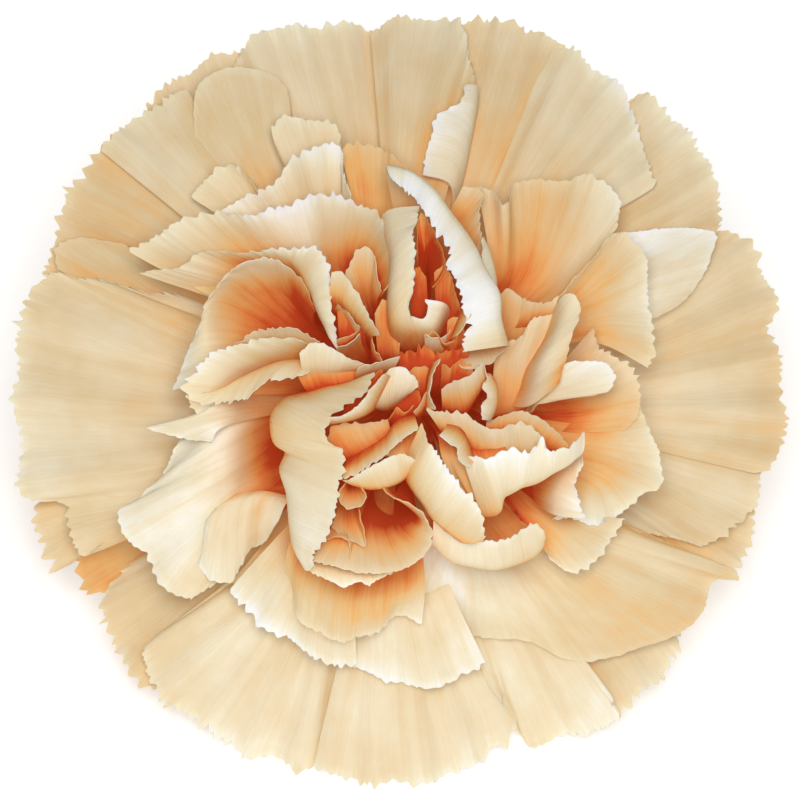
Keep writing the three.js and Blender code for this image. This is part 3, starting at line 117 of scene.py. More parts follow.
# name, claw [x, y], stations from claw to rim (each a curve across the petal), [tooth depth, wave depth, waves]
PETALS = [
    # guard petals, lowest first
    ["g20", [-3.3, -1.6],
      [[-17, -7.5, -0.8], [-17, -8.8, -0.8], [-16, -10, -0.8], [-14.8, -10.6, -0.8]],
      [[-33.6, -13.5, -9], [-33, -16.2, -9.2], [-31.6, -19.2, -9.2], [-29.8, -19.4, -9], [-27, -17.5, -8.6]],
      [0.6, 0.5, 2]],
    ["g21", [-3.6, -1],
      [[-19.5, -5.5, -0.2], [-19, -6.5, -0.2], [-18.5, -7.5, -0.2]],
      [[-36.5, -10.5, -8], [-36.7, -12.9, -8.4], [-36, -15, -8.6], [-34.3, -17.3, -8.6], [-33, -15.5, -8.2]],
      [0.7, 0.4, 2]],
    ["g13", [4.2, -1],
      [[18, -5, 0.4], [17.5, -6.5, 0.4], [16.5, -8, 0.4], [15, -8.5, 0.4]],
      [[35.4, -9, -7.5], [35.2, -12, -7.8], [34.4, -15.8, -7.8], [33, -17.5, -7.4], [28, -17, -6]],
      [0.6, 0.5, 3]],
    ["g15", [3, -2.8],
      [[14.5, -11, 1.2], [14, -13, 1.2], [12.5, -15, 1.2], [10.5, -16, 1.2]],
      [[29, -22, -6.5], [27.6, -24.8, -6.8], [26.4, -27.6, -6.8], [23.8, -29.8, -6.6], [21.5, -31.6, -6.4],
        [18.5, -31, -6]],
      [0.7, 0.6, 3]],
    ["g19", [-2.8, -2.4],
      [[-12, -15, 0.4], [-13.5, -13.5, 0.5], [-15, -12, 0.6], [-16, -10, 0.6]],
      [[-22, -29, -7], [-25.3, -29, -7.2], [-28, -26.6, -7.2], [-29.3, -23, -7], [-29.9, -19.6, -6.6],
        [-28, -17.2, -5.8], [-24.5, -15.8, -4.8]],
      [0.7, 0.6, 3]],
    ["g3b", [-2, 2],
      [[-15, 14, -0.2], [-14, 16, -0.2], [-13, 17, -0.2], [-11, 18, -0.2]],
      [[-26, 27, -7.4], [-25, 30, -7.8], [-23, 31.8, -7.8], [-20.8, 33, -7.8], [-18.5, 34.4, -7.8],
        [-16, 35, -7.4], [-13, 33, -6.8]],
      [0.6, 0.5, 3]],
    ["g8", [0.8, 3.5],
      [[3, 20, 1.6], [4.5, 21, 1.8], [6, 20.5, 2.2], [7.5, 20, 2.4], [8.5, 19, 2.4]],
      [[3.2, 37.5, -6.3], [6.2, 37.4, -6.4], [8.8, 38.2, -6.4], [11.2, 37.4, -6.3], [14, 36.5, -6.1],
        [16.3, 35.2, -5.8]],
      [0.6, 0.7, 3]],
    ["g10", [2.8, 2.8],
      [[12, 17, 1.8], [13.5, 16.5, 2], [15, 15.5, 2.2], [16, 14, 2.4], [16.8, 12, 2.6], [17, 10, 2.8]],
      [[22, 29.5, -5.2], [23.9, 30.5, -5.4], [26.6, 28.8, -5.5], [29.2, 25.9, -5.5], [30.8, 23.3, -5.4],
        [31.8, 20.5, -5], [32.1, 18, -4.2], [31.6, 16.6, -3]],
      [0.7, 0.5, 4]],
    ["g2", [-3, 1.5],
      [[-17, 6, 0.9], [-18, 8.5, 1.1], [-18, 11, 1.1], [-16, 14, 1.1], [-14, 16, 0.9]],
      [[-33, 10.5, -4.4], [-35.8, 12.5, -5.6], [-34.8, 15, -5.8], [-34.2, 19, -5.8], [-31.8, 23, -5.4],
        [-30, 25.5, -5.4], [-26, 27, -5]],
      [0.7, 0.6, 3]],
    ["g5", [-1.5, 3],
      [[-9, 18, 1.2], [-7.5, 19.5, 1.4], [-5, 20, 1.4], [-2, 20.5, 1.4], [0, 19.5, 1.2]],
      [[-17, 33.5, -5.7], [-14.6, 36.6, -6.2], [-10.8, 37.2, -6.2], [-6.3, 37.4, -6.2], [-2.5, 37, -6.2],
        [0, 35.5, -6.2]],
      [0.6, 0.7, 4]],
    ["g17", [0.5, -3.4],
      [[5, -17.5, 1.4], [3.5, -19, 1.6], [1.5, -20, 1.8], [-1, -20, 2], [-3, -19.5, 2], [-4.3, -18.3, 2]],
      [[12.2, -31, -6.6], [10.7, -34, -7.1], [8.6, -35.9, -7.4], [6, -37.2, -7], [2.9, -38.3, -6.4],
        [-1.1, -38.7, -6], [-6, -38, -6.3], [-8.8, -36.7, -6.3]],
      [0.7, 0.6, 5]],
    ["g12", [4.4, -0.4],
      [[19.5, -2.5, 2], [19, -4.5, 2.2], [17.5, -6, 2.4], [16, -7, 2.6], [14, -7.5, 2.6]],
      [[36.2, -5, -6], [35.8, -8.3, -5.6], [35.1, -11.5, -5.2], [33, -13, -4.6], [30.4, -14.8, -4],
        [28, -14.2, -3], [25, -13.6, -1.6], [21, -12.9, 0.3]],
      [0.6, 0.5, 4]],
    ["g18", [-1.5, -3.2],
      [[-5, -18, 1.5], [-6.5, -18.5, 1.9], [-8, -18, 2.3], [-9.5, -17, 2.7], [-10.7, -15.8, 3.1],
        [-11.5, -14.5, 3.3], [-12, -13, 3.3]],
      [[-7, -36.5, -7.9], [-9.7, -37.4, -8], [-13, -36.6, -8.8], [-17.3, -35.1, -8.2], [-20.2, -32.6, -7],
        [-24, -30.2, -6], [-25.5, -27.5, -5], [-25.8, -25.2, -4], [-23.6, -23, -2.8], [-20.5, -22.4, -1.5]],
      [0.8, 0.7, 6]],
    ["g16", [2, -3.2],
      [[10.8, -14, 2.8], [10.2, -15.5, 2.9], [9, -17, 3], [7.5, -18, 3], [6, -18.5, 2.9], [4.8, -18.3, 2.8]],
      [[18.6, -26.5, -2.8], [20.2, -29.2, -4], [21.8, -32, -5.6], [20.1, -33, -6.6], [17.5, -33.8, -8.6],
        [15, -34.7, -10], [13.2, -35.3, -10.3], [11.2, -32.6, -7.6], [9.2, -30.2, -4.6]],
      [0.7, 0.5, 4]],
    ["g11", [4.5, 0.8],
      [[18, 7, 2.8], [19.5, 5.5, 3], [20.3, 3.5, 3], [20.5, 1, 3], [20, -1.5, 3], [18.5, -3.5, 2.8]],
      [[31.8, 16.8, -4.5], [34, 16.2, -5], [36, 13.5, -5.3], [37.3, 10.2, -5.5], [37.2, 6.5, -5.5],
        [38, 2, -5.5], [38.4, -2, -5.5], [37.9, -5.2, -5.3], [35.7, -7.6, -4.8]],
      [0.7, 0.8, 5]],
    ["g3", [-2.5, 2],
      [[-18, 14.8, 1.8], [-17, 16.5, 2], [-15.5, 18, 2.2], [-14, 18.5, 2.2]],
      [[-30.2, 24.8, -4.5], [-28.8, 26.5, -4.5], [-26.3, 28.2, -4.5], [-24, 29.8, -4.3], [-21.8, 31.2, -4]],
      [0.6, 0.5, 3]],
    ["g9", [1.8, 3.4],
      [[8, 18.5, 3.2], [9.6, 18.5, 3.6], [11, 17.8, 3.8], [12.3, 16.8, 4], [13.3, 15.5, 4], [14, 14, 4]],
      [[14.6, 35, -4.8], [17.5, 34.8, -4.8], [19, 33.2, -4.6], [20.7, 32.2, -4.4], [22.6, 30.2, -3.8],
        [23.4, 27.5, -2.8], [24.6, 24, -1.7], [25, 21, -0.6]],
      [0.6, 0.6, 4]],
    ["g2b", [-3, 1.2],
      [[-18, 5, 2], [-18, 7, 2.2], [-17, 8.5, 2.2], [-15.5, 9.5, 2]],
      [[-34.5, 12.5, -3.5], [-34.8, 15, -4], [-33, 16, -3.2], [-30, 15.8, -2.2], [-27, 15, -1], [-24, 12.5, 0]],
      [0.3, 0.3, 2]],
    ["g4", [-2, 2.5],
      [[-14, 16.5, 2.8], [-13.5, 18, 3.2], [-12.3, 19.5, 3.4], [-11, 19.5, 3.4], [-9.8, 18, 3.2]],
      [[-20.6, 24, -0.8], [-20.8, 29, -2], [-20.3, 31.6, -2.3], [-18, 32.9, -2.3], [-15, 33, -2],
        [-12.6, 32.2, -1.6], [-11.4, 30.4, -1], [-12.2, 27.8, 0.2]],
      [0.15, 0.3, 3]],
    ["g7", [-0.5, 3],
      [[-1.9, 21, 3.4], [-0.5, 22, 3.6], [1.2, 22.5, 3.8], [2.6, 22.5, 4], [3.6, 21.5, 4.2], [4.3, 20, 4.4]],
      [[-3.2, 36.6, -4.8], [-1, 38, -5], [2, 37.9, -5], [4.9, 38.2, -5], [6.3, 36.5, -4], [6.8, 34, -2.6],
        [7.3, 31.6, -1], [7.2, 29.5, 0.5]],
      [0.5, 0.5, 3]],
    ["g7b", [0, 3],
      [[7.5, 31, 0], [7.3, 29.5, 1], [6.6, 27, 2.5], [5.8, 24, 3.8], [5, 21, 5]],
      [[6.4, 31.4, 1.2], [5.8, 29.6, 2.6], [3.6, 28.2, 4], [2.6, 25, 5], [2, 22.3, 6]],
      [0.2, 0.2, 2]],
    ["g1", [-3.5, 0.3],
      [[-13, 6, 3.6], [-17, 6.4, 4.2], [-20, 5, 4.2], [-21, 2, 4.4], [-21, -3, 4.4], [-20, -7, 4.2],
        [-17, -9, 3.6], [-14, -8, 3.2]],
      [[-22, 10.3, 2.4], [-27, 10.9, 1.2], [-31, 12, -0.2], [-36.3, 12, -3], [-38.4, 6.3, -4.2],
        [-38.8, 1, -4.6], [-38.2, -6.5, -5], [-38, -9.7, -5.4], [-33.9, -11.2, -4], [-32, -15.8, -4.5],
        [-28, -12.5, -2]],
      [0.8, 0.8, 6]],
    ["g10b", [3.1, 2.5],
      [[15, 9.5, 4.4], [17, 10, 4.8], [18.5, 9.6, 5], [19, 8.4, 5], [18.5, 7, 4.8]],
      [[22, 16.5, 2.4], [25.5, 16.9, 1], [29, 17, -0.6], [31.3, 16.4, -2], [30.5, 13, -0.6], [28.5, 10, 1.2],
        [25.5, 8, 2.8]],
      [0.2, 0.4, 2]],
    # middle petals
    ["m23", [-0.8, 2.4],
      [[-4, 15, 7.5], [-3, 15.5, 8], [-1.8, 15.5, 8.6], [-0.5, 15, 9.5]],
      [[-6, 24.5, 8.6], [-4.5, 25.5, 8], [-2.2, 25, 8.5], [-0.5, 23.8, 9.5], [1, 22.5, 10.5]],
      [0.3, 0.3, 2]],
    ["m1c", [-1.4, 2.4],
      [[-13, 14.5, 4.5], [-12, 15.2, 4.8], [-10.8, 15.5, 5], [-9.8, 15, 5.2]],
      [[-21, 20, 3.5], [-19.2, 22.2, 4], [-17.3, 23.5, 4.6], [-15.4, 22.3, 5.4], [-14.5, 20.5, 6.4]],
      [0.4, 0.3, 2]],
    ["m1d", [-1, 2.6],
      [[-8.5, 16, 5.4], [-7.8, 17, 5.6], [-6.8, 17.6, 5.8], [-5.8, 17.5, 6], [-4.8, 16.5, 6.2]],
      [[-12, 23.5, 4.5], [-12.8, 26.5, 4.5], [-12, 28.3, 4.6], [-9.8, 27.8, 5], [-6.8, 27.3, 5.6],
        [-6, 24, 6.6], [-5.6, 20.8, 7.8]],
      [0.4, 0.3, 3]],
    ["m7c", [0.4, -3.2],
      [[-5, -17, 6], [-3, -18, 6], [-0.5, -18.5, 6], [2, -18.3, 6], [4.2, -17.2, 6]],
      [[-6.5, -25.5, 1], [-4.5, -27, 0.6], [-2, -28, 0.2], [0.5, -28.9, 0], [3.5, -28.9, 0], [6, -28, 0.2],
        [8.2, -26.2, 0.6]],
      [0.4, 0.4, 3]],
    ["g14", [3.6, -2],
      [[11, -7.5, 6.4], [14, -9, 6.8], [15.5, -11, 6.6], [15, -13.5, 6.2], [13, -15, 6], [10, -15.5, 6.2],
        [7, -15, 6.8], [5, -13.5, 8], [4, -11, 9]],
      [[20, -12.8, 5], [25, -13.9, 2], [29.5, -16.2, -0.8], [33.4, -17.2, -3], [33.9, -18.4, -3.5],
        [31.3, -18.5, -3.4], [30.2, -21.3, -3.6], [28, -23.3, -3.6], [24, -25, -3], [19.5, -26.4, -2],
        [16.5, -26.2, -1.2], [13, -24.3, 0], [8, -24, 1.2], [5, -23.3, 2.2], [2.6, -21, 4.5], [1.4, -18.5, 6.5],
        [2.2, -15.5, 8.5]],
      [0.12, 0.4, 4]],
    ["m1b", [-1.2, 2.2],
      [[-11, 12, 6.5], [-9.8, 13.2, 7], [-8.4, 14, 7.4], [-6.8, 14.4, 7.8], [-5.4, 14.3, 8], [-4.4, 13.5, 8.2]],
      [[-20, 17.5, 7], [-18.2, 18.6, 8], [-16.2, 19.8, 8.6], [-13, 21.2, 9.6], [-11.5, 23.2, 10.2],
        [-9, 24.8, 10.8], [-6.4, 25.1, 11], [-5.7, 22.5, 11.4], [-5.4, 20, 12]],
      [0.4, 0.4, 4]],
    ["m4", [-2.6, -0.6],
      [[-10.5, 1.5, 7], [-12, -1, 6.5], [-12.8, -4, 6], [-12.8, -7, 5.6], [-12, -9, 5.2], [-11, -10.5, 5]],
      [[-15.5, 0.5, 11.5], [-17, -1.5, 12.5], [-17.6, -4, 12.5], [-18, -6.5, 11.6], [-18, -8.5, 10.2],
        [-17, -10.5, 8.4], [-15.5, -12, 7], [-13.5, -12.8, 6.2]],
      [[-21, -3.5, 10], [-22.8, -5, 9], [-24, -8, 7.5], [-26, -9.8, 6], [-28.2, -11.2, 4.5],
        [-27.2, -14.3, 3.6], [-25.5, -16, 3.4], [-24, -18.5, 3], [-21.2, -20.2, 3], [-18.8, -18.4, 3.6]],
      [0.3, 0.5, 4]],
    ["m4b", [-2, -1.8],
      [[-9.5, -7.6, 6], [-9.4, -8.8, 6.4], [-9, -10, 6.8], [-8.6, -11, 7.4]],
      [[-19.8, -12.2, 7.6], [-18.4, -10.9, 8.6], [-16.8, -10, 9.4], [-14.8, -9.7, 10], [-12.8, -9.7, 10.4],
        [-11.2, -10.2, 10.8]],
      [[-20.5, -12.8, 6.4], [-20.8, -15, 5.4], [-19.6, -17.6, 4.8], [-18.2, -18.4, 5], [-17, -18.4, 5.4],
        [-16.2, -16.8, 6], [-15.2, -15.2, 6.8], [-13.8, -14.4, 7.8], [-12.4, -12.4, 9.4]],
      [0.2, 0.3, 3]],
    ["m4c", [-1.8, -2],
      [[-10.5, -10.5, 5], [-10.5, -11.5, 5.2], [-10.2, -12.5, 5.4]],
      [[-17, -18.4, 3.6], [-15.6, -18.4, 3.8], [-14.2, -18.2, 4.2], [-13.6, -16.6, 5]],
      [0.2, 0.2, 2]],
    ["m7", [-1.2, -2.8],
      [[-12.6, -14, 9.5], [-11.5, -15.5, 9.5], [-9.5, -17, 9], [-7, -18.3, 8.6], [-4.5, -18.6, 8.2]],
      [[-17, -18.9, 4.5], [-16.4, -20.2, 4], [-14.6, -22, 3.4], [-12.8, -23.5, 3], [-9.5, -25.2, 2.4],
        [-6.6, -26.8, 2], [-4.6, -26.5, 2]],
      [0.5, 0.5, 3]],
    ["m7b", [-0.8, -3],
      [[-10.9, -13.6, 11.5], [-9.8, -16, 11], [-7.5, -18, 10.4], [-4.5, -19, 10], [-1.5, -19, 10], [1, -18, 10],
        [2.2, -16.8, 10]],
      [[-11.6, -18.6, 7.5], [-11, -20.6, 7], [-9.6, -22.6, 6.4], [-7.5, -23.9, 6], [-4.5, -24.1, 5.8],
        [-2, -22.8, 6], [-0.5, -21.9, 6.2], [2, -22.3, 6]],
      [0.3, 0.5, 4]],
    ["m17", [2.6, 2.4],
      [[8.6, 10.5, 8], [10, 11.5, 7.2], [12, 12, 6.6], [13.5, 12, 6.6], [15, 11.2, 7.6], [15.8, 10.3, 9.6]],
      [[7.6, 21, 9], [9, 20.6, 9.5], [10.3, 19.3, 10.5], [11, 21.2, 9], [13.5, 21.9, 8], [16, 21.7, 7.5],
        [19, 22.3, 6.5], [21.8, 19.6, 5.5], [21.2, 17, 7.5]],
      [0.2, 0.4, 3]],
    ["m17b", [3.6, 1.8],
      [[13.5, 8, 10], [15.5, 9.5, 10.2], [17.5, 9.8, 9.6], [18.5, 8.8, 9.4], [19, 7.4, 9.4], [18.8, 5.6, 9.6]],
      [[16.2, 10.6, 12.2], [18.5, 13.2, 11.5], [20.6, 16.1, 10], [22.2, 16.4, 8.6], [24.2, 14, 8],
        [24.6, 9.5, 8], [25.2, 5, 8.4], [24.6, 3, 8.6]],
      [0.2, 0.3, 3]],
    ["m16", [4.4, 0.2],
      [[14, 2, 9], [15, 1, 9.5], [16, 0, 10], [16.5, -1.8, 10.2], [16.2, -3.4, 10.4]],
      [[19, 7, 13.5], [19.6, 5, 13.6], [21, 4.4, 13], [22.7, 3, 12.4], [23.6, 1, 11.8], [23.8, -1, 11.2],
        [22.2, -3.2, 11.2]],
      [0.4, 0.3, 2]],
    ["m13", [3.6, -0.6],
      [[13, -2, 9], [13, -4, 9], [13, -6, 9], [12.5, -8, 9]],
      [[20, -2.5, 11], [20.5, -5, 10.5], [20, -8, 10.5], [17, -10.5, 11]],
      [[23.6, -0.8, 10.5], [25, -4, 9.5], [25.8, -6.5, 8.8], [25.8, -8.8, 8.2], [24, -9.6, 8.4],
        [22, -11.4, 8.8], [19.6, -12.6, 9.6], [17, -12.1, 11], [15.2, -12, 12]],
      [0.25, 0.3, 3]],
    ["m14", [3.2, -1.8],
      [[10.5, -10.5, 10.5], [12, -12, 10.8], [14, -12.6, 10.8], [16, -12.4, 10.6], [18.5, -11.5, 9.8]],
      [[14, -14.6, 10], [15.4, -16.6, 9], [17, -17.4, 8.6], [18.8, -16.6, 8.4], [20.4, -15, 8.2],
        [22.2, -12, 8]],
      [0.3, 0.3, 2]],
    ["m1", [-1.5, 1.8],
      [[-15, 8, 9.5], [-14, 10, 10.5], [-12, 12, 11.5], [-9.5, 13.5, 12.2], [-7, 13.8, 12.5], [-5, 13, 12.8],
        [-3.5, 11, 13], [-2.6, 8.5, 13]],
      [[-27.3, 14.5, 7], [-24, 16.5, 9], [-21, 18.1, 10.5], [-16.5, 18.3, 12.5], [-12, 19, 14],
        [-8.2, 20.2, 15], [-5.2, 20, 15.8], [-2.8, 18.2, 17.2], [-1, 15.5, 19.2], [-0.5, 12.3, 20.4],
        [-2, 11, 20.4]],
      [0.4, 0.5, 4]],
    ["m28", [3.6, 0.4],
      [[8, 6, 13], [9.4, 5.6, 13.2], [11, 5, 13.4], [12.6, 4.4, 13.4]],
      [[8.6, 9.4, 16.4], [9.6, 10.2, 16.6], [10.4, 10.8, 16.6], [12, 9.8, 16.4], [13, 9, 16.2], [13.2, 7.4, 16]],
      [0.15, 0.2, 2]],
    ["m28c", [4, 0.4],
      [[11.6, 7.6, 15.6], [13, 7.4, 15.8], [14.6, 7.2, 16]],
      [[12, 9.9, 16.8], [13.2, 9.4, 17.2], [14.4, 9.5, 17.4], [15.6, 10.1, 17.4]],
      [0.15, 0.1, 2]],
    ["m28b", [3.8, 0.2],
      [[8.6, -1.6, 15.5], [9.8, -1.4, 15.2], [11, -1.2, 15.2], [12.6, -0.8, 15.5]],
      [[9.2, 3.4, 16.8], [10.6, 3.6, 17], [12, 3.8, 17], [13.4, 4, 16.8]],
      [[9.6, 6, 17.4], [11, 5.7, 17.8], [12.4, 6.6, 18], [12.8, 7.8, 17.8], [14, 8.1, 17.8], [15.8, 8.4, 17.6]],
      [0.25, 0.2, 2]],
    ["m2", [-2, 1.4],
      [[-15, 8.5, 7.5], [-15.5, 10, 9], [-15.5, 11.5, 10.5], [-14, 12.8, 13], [-12, 13.2, 15.5],
        [-10.4, 13, 17.8], [-9.2, 11.4, 19.6], [-8.6, 9.8, 20.4], [-8, 8.2, 20.6], [-7.3, 6.2, 20.6]],
      [[-26.3, 12.3, 8.5], [-24.3, 12.8, 10], [-22, 13.2, 11.5], [-20.3, 14.3, 13], [-16.5, 14.6, 15.5],
        [-12.5, 14.6, 17.5], [-9.8, 15, 19], [-8, 14.5, 20], [-7.3, 12.3, 21], [-7, 10, 21.5],
        [-6.7, 7.5, 21.5], [-6.6, 4.9, 21]],
      [0.3, 0.3, 4]],
    ["m2b", [-2.4, 0.9],
      [[-10, 3.5, 8], [-11.2, 5, 8.5], [-11.2, 6.6, 9], [-10.6, 7.6, 9.4], [-9.6, 8, 10], [-8.8, 7.4, 11],
        [-8.2, 6.6, 12]],
      [[-18.6, 2, 15], [-19.4, 5, 15.5], [-19.5, 8, 16], [-18.3, 10.6, 16.4], [-16, 12.6, 16.4],
        [-13.6, 12.8, 15.6], [-11.6, 11.8, 15.4], [-10, 10, 16.4], [-8.9, 8, 17.4]],
      [[-22.9, 0.8, 12], [-21.5, 4, 13], [-20.3, 6.8, 15], [-19.6, 9, 16.4], [-18.2, 11.3, 17],
        [-16, 13.3, 17.4], [-13.6, 14, 17.2], [-11.4, 13.2, 17.6], [-9.7, 11.2, 18.8], [-8.8, 8.6, 19.6]],
      [0.2, 0.2, 2]],
    ["m3b", [-2.3, 1.2],
      [[-9, 4.2, 16.6], [-11, 4.8, 16.8], [-14, 5, 16.6]],
      [[-8, 5.5, 20], [-10, 6.4, 20], [-11.5, 7.1, 19.8], [-13.2, 6.9, 19.4], [-15, 6.4, 19],
        [-16.8, 5.4, 18.4]],
      [0.3, 0.3, 2]],
    ["m3", [-2.5, 0.6],
      [[-8, 3.7, 19], [-12, 3.5, 18.6], [-16, 2, 18], [-18.4, 0.4, 17.4], [-17.4, 2, 17.6], [-14, 3.8, 18.2],
        [-11, 4.6, 18.8], [-8.5, 4.9, 19.2]],
      [[-9.4, 2.5, 21.5], [-11, 2.1, 21.5], [-13.2, 1.7, 21.2], [-15.3, 0, 20.4], [-18, -0.4, 18.4],
        [-20.4, -0.4, 18], [-21.6, 0.9, 18.6], [-20, 3.4, 20], [-17.7, 4.8, 21], [-15, 5.7, 21.6],
        [-12.6, 6, 22], [-10, 5.6, 22.2]],
      [0.4, 0.2, 3]],
    ["m3r", [-2.2, 0.8],
      [[-9.8, 2.6, 20.4], [-7.2, 2.6, 20.6], [-4.6, 2.8, 20.8]],
      [[-10.2, 4.4, 21.4], [-8.8, 5.5, 22], [-7, 5, 22.4], [-5.4, 4, 22.6], [-3.2, 3.1, 22.6]],
      [0.1, 0.1, 2]],
    ["m3t", [-2.8, 0.2],
      [[-12.4, 0.4, 9], [-12.6, -0.6, 9], [-12.8, -1.6, 9]],
      [[-18.9, 0.6, 17], [-18.4, -1.6, 16], [-18.2, -3, 15]],
      [[-21.4, 0.4, 17.6], [-21, -0.8, 16.6], [-19.8, -2.2, 15.4], [-22.6, -2.8, 14], [-25.7, -2.9, 12.6],
        [-22, -4, 12.6], [-18.9, -4.3, 13]],
      [0.25, 0.2, 2]],
    # inner petals
    ["m6o", [-1, -2.4],
      [[-9.6, -15.7, 17.6], [-8, -16.6, 17.9], [-5.5, -17.2, 18.1], [-3, -17.2, 18.3], [-1, -16.6, 18.5]],
      [[-9.6, -17.1, 18.2], [-7.8, -17.9, 18.4], [-5.8, -18.7, 18.4], [-4.2, -18.3, 18.6], [-3.2, -18.6, 18.6],
        [-2.4, -17.9, 18.8], [-0.9, -17.4, 19]],
      [0.2, 0.2, 3]],
    ["m8", [1.8, -2.6],
      [[2, -9, 7], [4, -10.5, 7], [6, -11, 7], [8, -10.8, 7], [9.5, -10, 7]],
      [[3, -14.5, 16.5], [4.6, -16, 15.5], [7.5, -16.9, 14.8], [10, -16.9, 14.4], [12.3, -16.2, 14.2],
        [13.8, -15, 14.4], [14.2, -14, 15]],
      [[3.1, -12.2, 19.5], [4.4, -13.2, 19], [6.6, -14.3, 18.6], [8.7, -14.2, 18.4], [10.8, -14, 18.2],
        [12.1, -13, 18], [13.2, -12.5, 17.6], [14.1, -13.4, 17]],
      [0.35, 0.2, 3]],
    ["m13w", [3.4, -1.2],
      [[12, -6, 10], [12.2, -8, 10], [12.4, -9.5, 10]],
      [[17.7, -5.4, 17], [16.2, -7.6, 16.8], [15.4, -9.8, 16.2], [15.3, -11.6, 15.2]],
      [[18, -6.4, 18], [17.3, -8.2, 18.2], [17.5, -10.2, 17.6], [18.2, -12, 16]],
      [0.35, 0.2, 2]],
    ["m5", [-1.8, -0.8],
      [[-4, 1.2, 9], [-7.5, 0.8, 9], [-9.5, -0.5, 8.5], [-10.2, -3, 8.5], [-10, -5.5, 8.5], [-9.6, -8, 8.5],
        [-9, -10, 8.5], [-8.5, -12, 8.5], [-7.5, -13.5, 8.5]],
      [[-4.6, 1.8, 22], [-8.4, 0.4, 21.5], [-11.4, -0.4, 21], [-12.8, -2.2, 20.5], [-12.4, -4.6, 20],
        [-11, -5.6, 20], [-11.9, -7.3, 19.5], [-11.1, -9.8, 19.5], [-11.1, -12.5, 19], [-10.6, -15, 18.5],
        [-9.7, -17, 18]],
      [[-2.8, 2.6, 24.5], [-3.9, 0.2, 25], [-6.2, -1, 25.2], [-7.4, -2.6, 25.2], [-7.2, -4.5, 25.2],
        [-5.9, -5.4, 25.4], [-5.8, -7, 25.2], [-6.4, -9, 24.8], [-6.7, -11.8, 24], [-7.6, -13.8, 23],
        [-8.6, -15.3, 21.5], [-9.3, -17.2, 19.5]],
      [0.35, 0.3, 5]],
    ["m6", [-0.6, -1.8],
      [[-4.5, -7.6, 9], [-3, -9.4, 9.5], [-1.5, -10.6, 10], [0, -10.2, 10], [0.8, -8.6, 9.5], [0.4, -6.4, 9]],
      [[-7, -13, 17.6], [-5, -13.8, 18], [-2, -14, 18.2], [0.6, -13.2, 18.6], [1.8, -12, 18.8],
        [0.8, -10.9, 19], [-0.8, -9.4, 19]],
      [[-9, -16.2, 19.4], [-6, -16.9, 20.2], [-3, -17.4, 20.4], [0, -17.1, 20.4], [1.6, -16.1, 20.6],
        [2.8, -14.5, 20.8], [3, -13.1, 21], [2.5, -11.9, 21.3], [1.2, -10.8, 21.8], [-0.6, -10.1, 22],
        [-1.7, -9.2, 22], [-1.6, -8.4, 21.5]],
      [0.12, 0.2, 3]],
    ["m15", [4, 0.6],
      [[8.6, 0, 10], [9.5, 1, 10], [10.5, 2, 10.5], [11.5, 3, 11]],
      [[12.7, -0.8, 18.5], [13.2, 1, 19.3], [14, 3.6, 20], [15.1, 6, 20], [15.8, 8, 19.5], [15.7, 9.6, 18.5]],
      [[15.6, 1.4, 20.6], [16, 3, 21], [16.6, 5, 21], [17.2, 7, 20.8], [17.6, 9, 20.2], [16.9, 10.4, 19.6],
        [16, 10.2, 19]],
      [0.15, 0.2, 2]],
    ["m15b", [4.2, 0],
      [[11.5, 0, 14.5], [12.2, -0.8, 14.5], [12.6, -1.6, 14.5]],
      [[15, 2.4, 19.8], [14.8, 1.2, 19.2], [14.4, 0.2, 18.8], [13.6, -0.6, 18.4]],
      [[16.2, 3.4, 20], [18.4, 3.7, 19.2], [20.2, 3.5, 18.2], [21.2, 2.2, 17.4], [20.6, 0.8, 17],
        [18, 0.3, 17.4]],
      [0.15, 0.2, 2]],
    ["m11b", [3.2, -0.2],
      [[8.2, -3.6, 18.6], [10, -3.9, 18.4], [12, -4.2, 18.2], [13.6, -4.8, 18], [15, -5.6, 18]],
      [[8.4, -2.4, 20], [9.8, -1.9, 20], [11.6, -1.2, 19.8], [13.4, -1.9, 19.8], [15.2, -3.2, 19.6],
        [16.6, -4.8, 19.4]],
      [0.1, 0.1, 2]],
    ["m11", [2.6, -0.6],
      [[4, -3.4, 22.2], [6, -4.4, 22], [8, -5.4, 21.4], [10.5, -5.8, 20.8], [13, -5.8, 20.4],
        [14.5, -5.3, 20.2]],
      [[2.4, -1.2, 24.2], [4.2, -1.4, 23.8], [6.3, -1.7, 23.4], [7.8, -2.6, 22.9], [9.3, -3, 22.6],
        [11.3, -2.5, 22.2], [13, -2.9, 21.8], [14, -4.2, 21.4]],
      [0.3, 0.2, 4]],
    ["m10", [2.4, -1.2],
      [[4, -5, 9], [6, -6, 9], [7.5, -6, 9], [9, -5.5, 9], [10, -4.8, 9]],
      [[7.8, -11.9, 19], [9.6, -11.4, 19.4], [10.2, -9.8, 20.6], [11.6, -9, 21.2], [14, -8, 21.2],
        [16, -6.9, 20.8], [17.8, -5.6, 20.2]],
      [[6.2, -6.6, 24.5], [7, -5.8, 25], [9, -5.9, 25.2], [11.1, -5, 25], [12.8, -5.4, 24.6],
        [13.9, -4.1, 24.3], [14.7, -5.3, 24], [16.6, -4.9, 23], [18.2, -3.3, 21.5]],
      [0.35, 0.2, 4]],
    ["m9", [1, -1.6],
      [[0, -3.5, 10], [1, -5, 10], [2.5, -6.5, 10], [4, -7.5, 10]],
      [[0, -6.5, 21.8], [0.8, -8.2, 22.2], [2.2, -10.4, 22], [3.8, -12.4, 21.4], [5.4, -13.8, 20.4],
        [6.6, -14.4, 19.6], [7.9, -14.2, 19.2]],
      [[1.9, -2.5, 26], [2.6, -4.2, 26], [3.5, -5.6, 25.7], [4.4, -7, 25.3], [5.6, -8.4, 24.4],
        [7, -10.1, 23.2], [7.9, -11.6, 21.8], [8.2, -13.9, 20]],
      [0.35, 0.2, 3]],
    ["m12", [1.8, -1.2],
